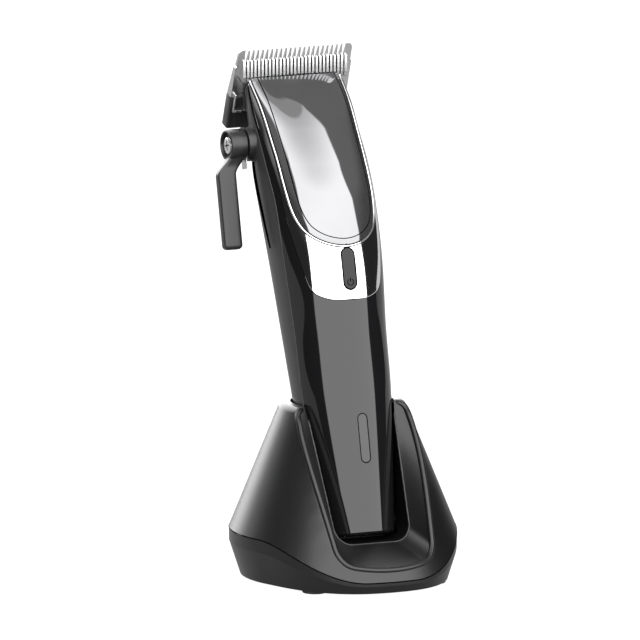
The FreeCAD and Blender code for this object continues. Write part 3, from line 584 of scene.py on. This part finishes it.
# ---- controls on the casing -----------------------------------------------------------
BUTTON = (2.45, 7.5, 96.2)       # half width, half height, centre height
LENS = (1.75, 8.85, 34.8)
ICON_DROP = 4.9                  # from the button's centre down to the power mark's
ICON_RADIUS = 1.15
ICON_LINE = 0.34
ICON_LEVELS = (0.1, 0.235)


def pill_loop(half_w, half_h, centre_z, count=24):
    """Outline of an upright pill, as x and z."""
    straight = half_h - half_w
    pts = []
    for i in range(count + 1):
        a = math.pi * i / count
        pts.append((half_w * math.cos(a), centre_z + straight + half_w * math.sin(a)))
    for i in range(count + 1):
        a = math.pi + math.pi * i / count
        pts.append((half_w * math.cos(a), centre_z - straight + half_w * math.sin(a)))
    return np.array(pts)


def pill_rings(half_w, half_h, centre_z, profile):
    """Loops of front-surface points; profile is (inset, lift) from rim to middle."""
    loops = []
    for inset, lift in profile:
        flat = pill_loop(max(half_w - inset, 0.001), half_h - inset, centre_z)
        pts = on_front(flat[:, 0], flat[:, 1])
        loops.append(lifted(pts, np.full(len(pts), lift)))
    return np.array(loops)


def loops_mesh(loops, cap_first=True, cap_last=True):
    """Skin over a row of closed loops, with its ends closed if wanted."""
    rows, cols = loops.shape[:2]
    verts = loops.reshape(-1, 3)
    faces = grid_faces(rows, cols, closed=True)
    if cap_first:
        faces.append(tuple(range(cols))[::-1])
    if cap_last:
        faces.append(tuple(range((rows - 1) * cols, rows * cols)))
    return verts, faces


def pill_piece(name, size, top, depth, edge, body, replaced, material, dish=0.0):
    """Rounded pill set in the front surface, with a shallow dish in its middle."""
    half_w, half_h, centre = size
    profile = [(0.0, -depth)]
    for t in (0.0, 0.08, 0.2, 0.4, 0.65, 1.0):
        profile.append((edge * t, top - float(round_drop(np.array(edge * t), edge))))
    for t in np.linspace(0.1, 1, 8):
        inset = edge + (half_w - edge) * t
        profile.append((inset, top - dish * math.sin(t * math.pi / 2)))
    verts, faces = loops_mesh(pill_rings(half_w, half_h, centre, profile), cap_last=False)
    return mesh_piece(name, verts, faces, CLIPPER, body, replaced, material)


def pill_gap_shade(name, size, inner_gap, outer_gap, top, depth, material):
    """Black ring round a control that fills its gap with painted shade."""
    half_w, half_h, centre = size
    loops = []
    for gap, lift in ((outer_gap, top), (inner_gap, top), (inner_gap, -depth), (outer_gap, -depth),
                      (outer_gap, top)):
        flat = pill_loop(half_w + gap, half_h + gap, centre)
        pts = on_front(flat[:, 0], flat[:, 1])
        loops.append(lifted(pts, np.full(len(pts), lift)))
    verts, faces = loops_mesh(np.array(loops), cap_first=False, cap_last=False)
    return mesh_piece(name, verts, faces, CLIPPER, "clipper", (), material)


def cut_pill(obj, size, gap):
    """Cuts a pill-shaped opening straight through the front of a piece."""
    half_w, half_h, centre = size
    flat = pill_loop(half_w + gap, half_h + gap, centre)
    loops = np.array([np.column_stack([flat[:, 0], np.full(len(flat), y), flat[:, 1]])
                      for y in (-40.0, 0.0)])
    verts, faces = loops_mesh(loops)
    data = bpy.data.meshes.new("cutter_form")
    data.from_pydata([tuple(CLIPPER @ Vector(v)) for v in verts], [], faces)
    form = bpy.data.objects.new("cutter_form", data)
    bpy.context.scene.collection.objects.link(form)
    clean(form, 1e-8)
    mod = obj.modifiers.new("opening", "BOOLEAN")
    mod.object = form
    mod.operation = "DIFFERENCE"
    mod.solver = "EXACT"
    graph = bpy.context.evaluated_depsgraph_get()
    result = bpy.data.meshes.new_from_object(obj.evaluated_get(graph))
    obj.modifiers.clear()
    old = obj.data
    obj.data = result
    bpy.data.meshes.remove(old)
    bpy.data.objects.remove(form)
    bpy.data.meshes.remove(data)


def ribbon(points, width, low, high):
    """Flat raised line on the front surface following x, z points."""
    tangent = np.gradient(points, axis=0)
    tangent /= np.linalg.norm(tangent, axis=1, keepdims=True)
    side = np.column_stack([-tangent[:, 1], tangent[:, 0]])
    across = np.linspace(-0.5, 0.5, 5) * width
    flat = points[:, None, :] + side[:, None, :] * across[None, :, None]
    pts = on_front(flat[..., 0], flat[..., 1])
    return slab_mesh(lifted(pts, np.full(pts.shape[:2], high)), lifted(pts, np.full(pts.shape[:2], low)))


def make_controls():
    pill_piece("power_button_cap", BUTTON, 0.24, 2.2, 0.35, "button", ["power_button"],
               MATS["button_grey"], dish=0.06)
    centre = BUTTON[2] - ICON_DROP
    arc = np.array([(ICON_RADIUS * math.sin(a), centre + ICON_RADIUS * math.cos(a))
                    for a in np.linspace(math.radians(38), math.radians(322), 34)])
    stem = np.array([(0.0, centre + 0.1), (0.0, centre + 0.8), (0.0, centre + 1.5)])
    verts, faces = joined([ribbon(line, ICON_LINE, *ICON_LEVELS) for line in (arc, stem)])
    mesh_piece("power_icon", verts, faces, CLIPPER, "button", (), MATS["shadow_gap"])
    # black rings in the gaps round the button and the window: painted shade
    pill_gap_shade("button_gap_shade", BUTTON, 0.15, BUTTON_CUT, -0.02, 0.6, MATS["shadow_gap"])
    pill_gap_shade("window_gap_shade", LENS, 0.01, LENS_CUT, 0.0, 1.2, MATS["shadow_gap"])
    pill_piece("indicator_window", LENS, 0.03, 1.2, 0.22, "clipper", ["indicator_lens"],
               MATS["lens_smoke"])


# ---- dock -----------------------------------------------------------------------------
DOCK_RADIUS = 41.1
DOCK_SLOPE = 0.4053
DOCK_CREASE = 17.0
DOCK_TOP = 62.8
APRON_OUTER = dict(top=23.0, low=21.0, floor=8.0, corner=6.0, y_low=-44.7, lean=0.6856)
APRON_INNER = dict(top=17.3, low=15.0, floor=15.1, corner=6.5, y_low=-28.5, lean=0.4766)
APRON_OVERRUN = 0.18
SHOULDER_BEAD = ((21.5, -8.2, 59.6), (20.8, -7.3, 61.0), (19.7, -6.5, 61.55), (18.6, -5.6, 61.5),
                 (18.0, -4.4, 61.45))     # where the rim's bead turns over the dock's shoulder
SEAM_REACH = 5.2                          # the seam stands further out in front


def apron_line(u, count=30):
    """One U-shaped outline: down the left leg, round two corners, up the right leg."""
    high = DOCK_TOP + 12.0
    half_low = u["low"]
    half_high = half_low + (u["top"] - u["low"]) * (high - u["floor"]) / (DOCK_TOP - u["floor"])
    r, low = u["corner"], u["floor"]
    leg = np.linspace(0, 1, count)[:, None]
    left = np.array([[-half_high, high]]) * (1 - leg) + np.array([[-half_low, low + r]]) * leg
    turn = np.linspace(0, math.pi / 2, 14)[1:]
    corner = np.column_stack([-half_low + r - r * np.cos(turn), low + r - r * np.sin(turn)])
    bottom = np.column_stack([np.linspace(-half_low + r, 0, 9)[1:], np.full(8, low)])
    half = np.vstack([left, corner, bottom])
    other = half[:-1][::-1].copy()
    other[:, 0] *= -1
    full = np.vstack([half, other])
    y = u["y_low"] + (full[:, 1] - u["floor"]) * u["lean"]
    return np.column_stack([full[:, 0], y, full[:, 1]])


def rim_on_cone(inner, outer):
    """Where each line from the apron's inner to its outer edge meets the dock's cone."""
    low, high = np.zeros(len(inner)), np.full(len(inner), 1 + APRON_OVERRUN)
    for _ in range(40):
        t = (low + high) / 2
        p = inner * (1 - t[:, None]) + outer * t[:, None]
        over = np.hypot(p[:, 0], p[:, 1]) > DOCK_RADIUS + (DOCK_CREASE - p[:, 2]) * DOCK_SLOPE
        high, low = np.where(over, t, high), np.where(over, low, t)
    t = ((low + high) / 2)[:, None]
    return inner * (1 - t) + outer * t


def tube(path, radius, sides=12):
    """Round bar along a path, with domed ends."""
    tangent = np.gradient(path, axis=0)
    tangent /= np.linalg.norm(tangent, axis=1, keepdims=True)
    first = np.cross(tangent, np.array([0.0, 1.0, 0.0]))
    first /= np.linalg.norm(first, axis=1, keepdims=True)
    second = np.cross(tangent, first)
    turn = np.linspace(0, 2 * math.pi, sides, endpoint=False)
    size = np.full(len(path), radius)
    size[[0, -1]] = radius * 0.3
    size[[1, -2]] = radius * 0.8
    loops = (path[:, None, :] + size[:, None, None] * (np.cos(turn)[None, :, None] * first[:, None, :]
                                                       + np.sin(turn)[None, :, None] * second[:, None, :]))
    return loops_mesh(loops)


def resample(path, step):
    """The same line with points at about even steps."""
    length = np.concatenate([[0], np.cumsum(np.linalg.norm(np.diff(path, axis=0), axis=1))])
    t = np.linspace(0, length[-1], int(length[-1] / step))
    return np.column_stack([np.interp(t, length, path[:, k]) for k in range(3)])


def front_share(angle):
    """1 at the dock's front, falling to 0 towards its sides."""
    return smooth01((72.0 - np.abs(angle)) / 60.0)


def seam_line():
    """The wavy crease between the dock's shell and its base, all the way round."""
    angle = np.linspace(-180, 180, 181)
    r = DOCK_RADIUS + SEAM_REACH * front_share(angle)
    z = DOCK_CREASE - (r - DOCK_RADIUS) / DOCK_SLOPE - 0.25
    a = np.radians(angle)
    return np.column_stack([r * np.sin(a), -r * np.cos(a), z])


def make_dock_beads():
    inner = apron_line(APRON_INNER)
    outer = apron_line(APRON_OUTER)
    edge = rim_on_cone(inner, outer)
    edge = edge[edge[:, 2] < DOCK_TOP - 4.4]
    inward = edge * np.array([-1, -1, 0])
    inward /= np.linalg.norm(inward, axis=1, keepdims=True)
    path = edge + inward * 0.62
    over = np.array(SHOULDER_BEAD)
    left = over[::-1] * np.array([-1, 1, 1])
    path = resample(np.vstack([left, path, over]), 0.7)
    for _ in range(3):
        path[1:-1] = (path[:-2] + 2 * path[1:-1] + path[2:]) / 4
    verts, faces = tube(path, 1.12, sides=20)
    mesh_piece("dock_rim_bead", verts, faces, DOCK, "dock", (), MATS["black_satin"])
    path = resample(inner[inner[:, 2] < DOCK_TOP - 4.0], 0.7)
    verts, faces = tube(path + np.array([0, 0.25, 0]), 0.45)
    mesh_piece("dock_pocket_bead", verts, faces, DOCK, "dock", (), MATS["black_satin"])
    # thin black tube along the crease between shell and base: painted shade of the seam
    ring = seam_line()
    outward = ring * np.array([1, 1, 0])
    outward /= np.linalg.norm(outward, axis=1, keepdims=True)
    verts, faces = tube(ring - outward * 0.12, 0.26, sides=10)
    mesh_piece("dock_seam_shade_line", verts, faces, DOCK, "dock", (), MATS["shadow_gap"])


# ---- blades ---------------------------------------------------------------------------
def prism_piece(name, outline, back_of, body, replaced, material):
    """Blade from an x-z outline in the blade frame; back_of gives the back face's y at a height."""
    pts = np.array(outline, float)
    n = len(pts)
    face_a = np.column_stack([pts[:, 0], np.zeros(n), pts[:, 1]])
    face_b = np.column_stack([pts[:, 0], [back_of(z) for z in pts[:, 1]], pts[:, 1]])
    verts = np.vstack([face_a, face_b])
    faces = [tuple(range(n)), tuple(range(2 * n - 1, n - 1, -1))]
    faces += [(i, (i + 1) % n, (i + 1) % n + n, i + n) for i in range(n)]
    return mesh_piece(name, verts, faces, BLADE, body, replaced, material, smooth=25)


COMB = dict(half=23.0, length=19.25, slots=22, pitch=1.83, depth=7.6, tip=0.34, root=1.0)
COMB_THICK = (0.5, 3.8)          # at the teeth's tips and at the foot
# darker steel over the comb's face behind the cutter's teeth: painted shade cast by the cutter
COMB_SHADE_HALF = 19.4
COMB_SHADE_DEPTH = (-0.03, 0.4)
COMB_SHADE_HEIGHTS = (-4.8, -8.4)
CUTTER = dict(half=20.6, tip=-4.4, length=19.6, slots=28, pitch=1.43, depth=7.4, narrow=0.72,
              wide=0.9, thick=2.6, bevel=5.6, taper=2.4)
CUTTER_GAP = -0.05               # the cutter runs just in front of the comb's face


def comb_outline():
    c = COMB
    half, foot = c["half"], -c["length"]
    left = [(-half, foot), (-half, -7.3), (-half + 0.5, -6.9)]
    r = 2.1
    for i in range(9):
        a = math.pi / 2 * i / 8
        left.append((-half + 0.5 + r - r * math.cos(a), -r + r * math.sin(a)))
    slots = []
    for i in range(c["slots"]):
        x = (i - (c["slots"] - 1) / 2) * c["pitch"]
        mouth, root = (c["pitch"] - c["tip"]) / 2, (c["pitch"] - c["root"]) / 2
        low = -c["depth"]
        slots += [(x - mouth, -0.25), (x - mouth + 0.02, -0.4), (x - root, low + 0.3),
                  (x - root * 0.5, low), (x + root * 0.5, low), (x + root, low + 0.3),
                  (x + mouth - 0.02, -0.4), (x + mouth, -0.25)]
    slots[0] = (slots[0][0], 0.0)
    slots[-1] = (slots[-1][0], 0.0)
    right = [(-x, z) for x, z in left[::-1]]
    return left + slots + right


def upright_bar(levels):
    """Bar in front of the comb's face from (x0, x1, thickness, height) at each level."""
    return loops_mesh(np.array([[(x0, CUTTER_GAP, z), (x1, CUTTER_GAP, z),
                                 (x1, CUTTER_GAP - thick, z), (x0, CUTTER_GAP - thick, z)]
                                for x0, x1, thick, z in levels]))


def make_comb():
    thin, full = COMB_THICK

    def comb_back(z):
        return thin + (full - thin) * min(1.0, -z / COMB["length"])

    prism_piece("comb_blade", comb_outline(), comb_back, "comb", ["fixed_blade"], MATS["comb_steel"])
    # darker steel patch behind the cutter: painted shade
    near, far = COMB_SHADE_DEPTH
    corners = ((COMB_SHADE_HALF, near), (-COMB_SHADE_HALF, near), (-COMB_SHADE_HALF, far), (COMB_SHADE_HALF, far))
    verts, faces = loops_mesh(np.array([[(x, y, z) for x, y in corners] for z in COMB_SHADE_HEIGHTS]))
    mesh_piece("comb_shade_patch", verts, faces, BLADE, "comb", (), MATS["comb_shade_steel"])


def make_cutter():
    c = CUTTER
    half, tip, thick = c["half"], c["tip"], c["thick"]
    foot, bevel, root = tip - c["length"], tip - c["bevel"], tip - c["depth"]
    edges = [-half]
    for i in range(c["slots"]):
        x = (i - (c["slots"] - 1) / 2) * c["pitch"]
        edges += [x - c["pitch"] / 2 + c["wide"] / 2, x + c["pitch"] / 2 - c["wide"] / 2]
    edges.append(half)
    slim = (c["wide"] - c["narrow"]) / 2
    levels = ((tip, slim, 0.6), (tip - 0.25, slim * 0.9, 0.75), (bevel, 0.0, thick),
              (root - 0.4, 0.0, thick))
    pieces = [upright_bar([(x0 + trim, x1 - trim, y, z) for z, trim, y in levels])
              for x0, x1 in zip(edges[::2], edges[1::2])]
    body = ((half, root), (half, root - 1.0), (half - c["taper"], foot))
    pieces.append(upright_bar([(-w, w, thick, z) for w, z in body]))
    verts, faces = joined(pieces)
    mesh_piece("cutter_teeth", verts, faces, BLADE, "cutter", ["cutter_blade"], MATS["comb_steel"],
               smooth=15)


def rounded_loop(x0, x1, y0, y1, z, radius, steps=6):
    """Rectangle with rounded corners at one height."""
    pts = []
    for cx, cy, start in ((x1 - radius, y1 - radius, 0), (x0 + radius, y1 - radius, 90),
                          (x0 + radius, y0 + radius, 180), (x1 - radius, y0 + radius, 270)):
        for i in range(steps + 1):
            a = math.radians(start + 90 * i / steps)
            pts.append((cx + radius * math.cos(a), cy + radius * math.sin(a), z))
    return pts


def rounded_block(x0, x1, y0, y1, z0, z1, radius, edge=0.35):
    """Block with rounded upright edges and softened ends."""
    loops = []
    for t in (0.0, 0.3, 0.7, 1.0):
        cut = edge * (1 - math.sin(t * math.pi / 2))
        loops.append(rounded_loop(x0 + cut, x1 - cut, y0 + cut, y1 - cut, z0 + edge * t, radius))
    for t in (1.0, 0.7, 0.3, 0.0):
        cut = edge * (1 - math.sin(t * math.pi / 2))
        loops.append(rounded_loop(x0 + cut, x1 - cut, y0 + cut, y1 - cut, z1 - edge * t, radius))
    return loops_mesh(np.array(loops))


HOOK_X = 21.4
HOOK_WIDTH = 0.7
HOOK_TURN = 3.0


def make_holder():
    """Holder behind the comb's foot, and the two wire hooks that guide the cutter."""
    foot = -COMB["length"]
    pieces = [rounded_block(-23.0, 23.0, 0.0, 4.6, foot - 13.0, foot - 0.02, 0.7),
              rounded_block(-17.0, 17.0, 3.82, 5.8, foot - 11.5, foot + 6.2, 0.6),
              rounded_block(-20.4, -19.9, -0.15, 0.5, foot - 12.6, foot - 6.5, 0.2, 0.1)]
    verts, faces = joined(pieces)
    mesh_piece("blade_holder", verts, faces, BLADE, "comb", ["blade_carrier"], MATS["dark_holder"])
    hooks = []
    for side in (-1, 1):
        for reach, top in ((HOOK_WIDTH, foot + 1.5), (-HOOK_TURN, foot - 4.9)):
            x0, x1 = sorted((side * HOOK_X, side * (HOOK_X + reach)))
            hooks.append(rounded_block(x0, x1, -1.6, 0.1, foot - 5.6, top, 0.25, 0.1))
    verts, faces = joined(hooks)
    mesh_piece("blade_guide_hooks", verts, faces, BLADE, "comb", (), MATS["comb_steel"])


# ---- taper lever ----------------------------------------------------------------------
HUB = (16.45, 145.2)             # y and height of its axis
HUB_R = 5.8
HUB_X = (-30.0, -23.5)
PADDLE_X = (-34.65, -27.55)
PADDLE_DROP = 37.8
PADDLE_ROUND = 1.6
ARM_SQUARENESS = 5.5


def spun(profile, sides=64):
    """Turned piece about the hub's x axis; profile is (x, radius)."""
    turn = np.linspace(0, 2 * math.pi, sides, endpoint=False)
    y, z = HUB
    loops = [np.column_stack([np.full(sides, x), y + r * np.sin(turn), z + r * np.cos(turn)])
             for x, r in profile]
    return loops_mesh(np.array(loops))


def arm_loop(d, turn):
    """Section of the lever's arm at a distance below the hub's axis."""
    x0, x1 = HUB_X
    across = smooth01((d - 3.6) / 7.2)
    out = smooth01((d - 2.6) / 2.6)
    left = (x0 + 1.75) * (1 - out) + (x0 + 0.2) * out
    left += (PADDLE_X[0] - x0 - 0.2) * across
    right = (x1 - 0.1) * (1 - across) + PADDLE_X[1] * across
    thick = 2.0 + 3.0 * (1 - smooth01((d + 1.0) / 9.5))
    end = max(0.0, (d - (PADDLE_DROP - PADDLE_ROUND)) / PADDLE_ROUND)
    trim = PADDLE_ROUND * (1 - math.sqrt(max(0.0, 1 - end * end)))
    half = (right - left) / 2 - trim
    depth = max(0.2, thick - trim * 0.7)
    c, s = np.cos(turn), np.sin(turn)
    x = (left + right) / 2 + half * np.sign(c) * np.abs(c) ** (2 / ARM_SQUARENESS)
    y = HUB[0] + depth * np.sign(s) * np.abs(s) ** (2 / ARM_SQUARENESS)
    return np.column_stack([x, y, np.full(len(turn), HUB[1] - d)])


def make_lever():
    x0, x1 = HUB_X
    hub = [(x0 + 1.5, 0.01), (x0 + 1.5, 4.55), (x0 + 0.3, 4.75), (x0 + 0.06, 4.85), (x0, 5.0),
           (x0 + 0.02, 5.35), (x0 + 0.18, 5.62), (x0 + 0.5, HUB_R), (x1 - 0.4, HUB_R),
           (x1 - 0.1, 5.65), (x1, 5.4), (x1, 0.01)]
    straight_end = PADDLE_DROP - PADDLE_ROUND
    rounding = np.sin(np.linspace(0.1, 1, 8) * math.pi / 2)
    drops = np.concatenate([np.linspace(-1.0, 12.5, 46), np.linspace(13.5, straight_end, 30),
                            PADDLE_DROP - PADDLE_ROUND * (1 - rounding)])
    turn = np.linspace(0, 2 * math.pi, 72, endpoint=False)
    arm = loops_mesh(np.array([arm_loop(d, turn) for d in drops]))
    verts, faces = joined([spun(hub), arm])
    mesh_piece("taper_lever_arm", verts, faces, CLIPPER, "lever", ["taper_lever"],
               MATS["lever_black"], smooth=40)
    head = [(x0 + 0.34, 0.01), (x0 + 0.34, 1.5), (x0 + 0.38, 2.4), (x0 + 0.5, 2.85),
            (x0 + 0.75, 3.05), (x0 + 1.48, 3.05), (x0 + 1.48, 0.01)]
    verts, faces = spun(head)
    mesh_piece("lever_screw_head", verts, faces, CLIPPER, "lever", (), MATS["screw_steel"])
    y, z = HUB
    # two black bars: painted shade in the screw's cross recess
    cross_shade_bars = [box_mesh(x0 + 0.30, x0 + 0.5, y - dy, y + dy, z - dz, z + dz)
            for dy, dz in ((1.7, 0.32), (0.32, 1.7))]
    verts, faces = joined(cross_shade_bars)
    mesh_piece("lever_screw_cross_shade", verts, faces, CLIPPER, "lever", (), MATS["rubber_black"])


def box_mesh(x0, x1, y0, y1, z0, z1):
    v = np.array([(x, y, z) for x in (x0, x1) for y in (y0, y1) for z in (z0, z1)], float)
    f = [(0, 1, 3, 2), (4, 6, 7, 5), (0, 4, 5, 1), (2, 3, 7, 6), (0, 2, 6, 4), (1, 5, 7, 3)]
    return v, f


def joined(pieces):
    """One mesh from several (points, faces) pairs."""
    verts, faces, base = [], [], 0
    for v, f in pieces:
        verts.append(v)
        faces += [tuple(i + base for i in face) for face in f]
        base += len(v)
    return np.vstack(verts), faces


# ---- light, floor and camera ----------------------------------------------------------
# angles are degrees round from the front and above the horizon
CARD_HALF_ANGLE = 57.0
CARD_SOFTNESS = 1.5
CARD_LIGHT = 4.0
BACK_ANGLE = 140.0
BACK_LIGHT = 5.0
SKY_LIGHT = 0.24
LEAST_LIGHT = 0.02


def make_world():
    """White behind the object; a soft card in front of it and lights behind it light it."""
    world = bpy.data.worlds.new("studio")
    bpy.context.scene.world = world
    world.use_nodes = True
    tree = world.node_tree
    tree.nodes.clear()
    out = tree.nodes.new("ShaderNodeOutputWorld")
    coords = tree.nodes.new("ShaderNodeTexCoord")
    split = tree.nodes.new("ShaderNodeSeparateXYZ")
    tree.links.new(coords.outputs["Generated"], split.inputs["Vector"])

    def maths(op, *values):
        n = tree.nodes.new("ShaderNodeMath")
        n.operation = op
        for k, v in enumerate(values):
            if isinstance(v, (int, float)):
                n.inputs[k].default_value = v
            else:
                tree.links.new(v, n.inputs[k])
        return n.outputs[0]

    def step(value, low, high):
        n = tree.nodes.new("ShaderNodeMapRange")
        n.interpolation_type = "SMOOTHSTEP"
        n.inputs["From Min"].default_value = math.radians(low)
        n.inputs["From Max"].default_value = math.radians(high)
        tree.links.new(value, n.inputs["Value"])
        return n.outputs["Result"]

    forward = maths("MULTIPLY", split.outputs["Y"], -1.0)
    turn = maths("ABSOLUTE", maths("ARCTAN2", split.outputs["X"], forward))
    rise = maths("ARCSINE", split.outputs["Z"])
    card_edge = (CARD_HALF_ANGLE + CARD_SOFTNESS, CARD_HALF_ANGLE - CARD_SOFTNESS)
    card = step(turn, *card_edge)
    # the upper part of the card reaches further round to the left
    side = maths("ARCTAN2", split.outputs["X"], forward)
    wide = maths("MULTIPLY", step(side, *card_edge), step(rise, 44, 52))
    wide = maths("MULTIPLY", wide, step(side, -150, -130))
    card = maths("MAXIMUM", card, wide)
    # brightest low down, dimmer above its upper fold
    below = maths("MULTIPLY", step(rise, 72, 69.5),
                  maths("ADD", maths("MULTIPLY", step(rise, 72, 46), 0.62), 0.38))
    above = maths("MULTIPLY", step(rise, 86, 80), 0.15)
    card = maths("MULTIPLY", card, maths("MAXIMUM", below, above))
    back = maths("MAXIMUM", step(turn, BACK_ANGLE + 4, BACK_ANGLE + 18),
                 maths("MULTIPLY", step(turn, BACK_ANGLE - 16, BACK_ANGLE + 4), step(rise, 10, 26)))
    back = maths("MULTIPLY", back, step(rise, 70, 50))
    card_light = maths("MULTIPLY", card, CARD_LIGHT)
    back_light = maths("MULTIPLY", back, BACK_LIGHT)
    sky = maths("MULTIPLY", step(rise, 16, 34), SKY_LIGHT)
    total = maths("ADD", maths("ADD", card_light, back_light), maths("ADD", sky, LEAST_LIGHT))

    shade = tree.nodes.new("ShaderNodeBackground")
    tree.links.new(total, shade.inputs["Strength"])
    shade.inputs["Color"].default_value = (1, 1, 1, 1)
    white = tree.nodes.new("ShaderNodeBackground")
    white.inputs["Color"].default_value = (1, 1, 1, 1)
    white.inputs["Strength"].default_value = 1.0
    path = tree.nodes.new("ShaderNodeLightPath")
    mix = tree.nodes.new("ShaderNodeMixShader")
    tree.links.new(path.outputs["Is Camera Ray"], mix.inputs["Fac"])
    tree.links.new(shade.outputs["Background"], mix.inputs[1])
    tree.links.new(white.outputs["Background"], mix.inputs[2])
    tree.links.new(mix.outputs["Shader"], out.inputs["Surface"])


FLOOR_HALF = 6.0
FLOOR_GLOW = (0.3, 0.98)         # as the object sees it, and as the camera does


def make_floor():
    h = FLOOR_HALF
    data = bpy.data.meshes.new("floor")
    data.from_pydata([(-h, -h, 0), (h, -h, 0), (h, h, 0), (-h, h, 0)], [], [(0, 1, 2, 3)])
    floor = bpy.data.objects.new("floor", data)
    bpy.context.scene.collection.objects.link(floor)
    mat = bpy.data.materials.new("pale_floor")
    mat.use_nodes = True
    tree = mat.node_tree
    shader = tree.nodes["Principled BSDF"]
    path = tree.nodes.new("ShaderNodeLightPath")
    seen = node(tree, "ShaderNodeMapRange", To_Min=FLOOR_GLOW[0], To_Max=FLOOR_GLOW[1])
    tree.links.new(path.outputs["Is Camera Ray"], seen.inputs["Value"])
    tree.links.new(seen.outputs["Result"], shader.inputs["Emission Strength"])
    shader.inputs["Base Color"].default_value = (0.12, 0.12, 0.12, 1)
    shader.inputs["Roughness"].default_value = 0.8
    shader.inputs["Specular IOR Level"].default_value = 0.0
    shader.inputs["Emission Color"].default_value = (1, 1, 1, 1)
    data.materials.append(mat)


CAMERA_TURN = math.radians(-24.0)
CAMERA_RISE = math.radians(10.0)
CAMERA_DISTANCE = 6.5
CAMERA_LENS = 1009.7
CAMERA_AIM = (-8.1, 90.9)        # millimetres right and up from the dock's foot
CAMERA_REACH = 40.0


def make_camera():
    sa, ca = math.sin(CAMERA_TURN), math.cos(CAMERA_TURN)
    se, ce = math.sin(CAMERA_RISE), math.cos(CAMERA_RISE)
    right = Vector((ca, sa, 0))
    up = Vector((-sa * se, ca * se, ce))
    back = Vector((sa * ce, -ca * ce, se))
    origin = DOCK @ Vector((0, 0, 0))
    target = origin + (right * CAMERA_AIM[0] + up * CAMERA_AIM[1]) * MM
    data = bpy.data.cameras.new("camera")
    data.lens = CAMERA_LENS
    data.sensor_width = 36.0
    cam = bpy.data.objects.new("camera", data)
    bpy.context.scene.collection.objects.link(cam)
    rotation = Matrix((right, up, back)).transposed().to_4x4()
    cam.matrix_world = Matrix.Translation(target + back * CAMERA_DISTANCE) @ rotation
    data.clip_end = CAMERA_REACH
    bpy.context.scene.camera = cam


bpy.context.scene.view_settings.view_transform = "Standard"
make_camera()
make_world()
make_floor()
dress_cad_nodes()
make_shield()
make_rim()
make_cover()
make_front_shell()
make_back_shell()
make_controls()
make_dock_beads()
make_comb()
make_cutter()
make_lever()
make_holder()
make_end_cap()
make_side_groove_shade()
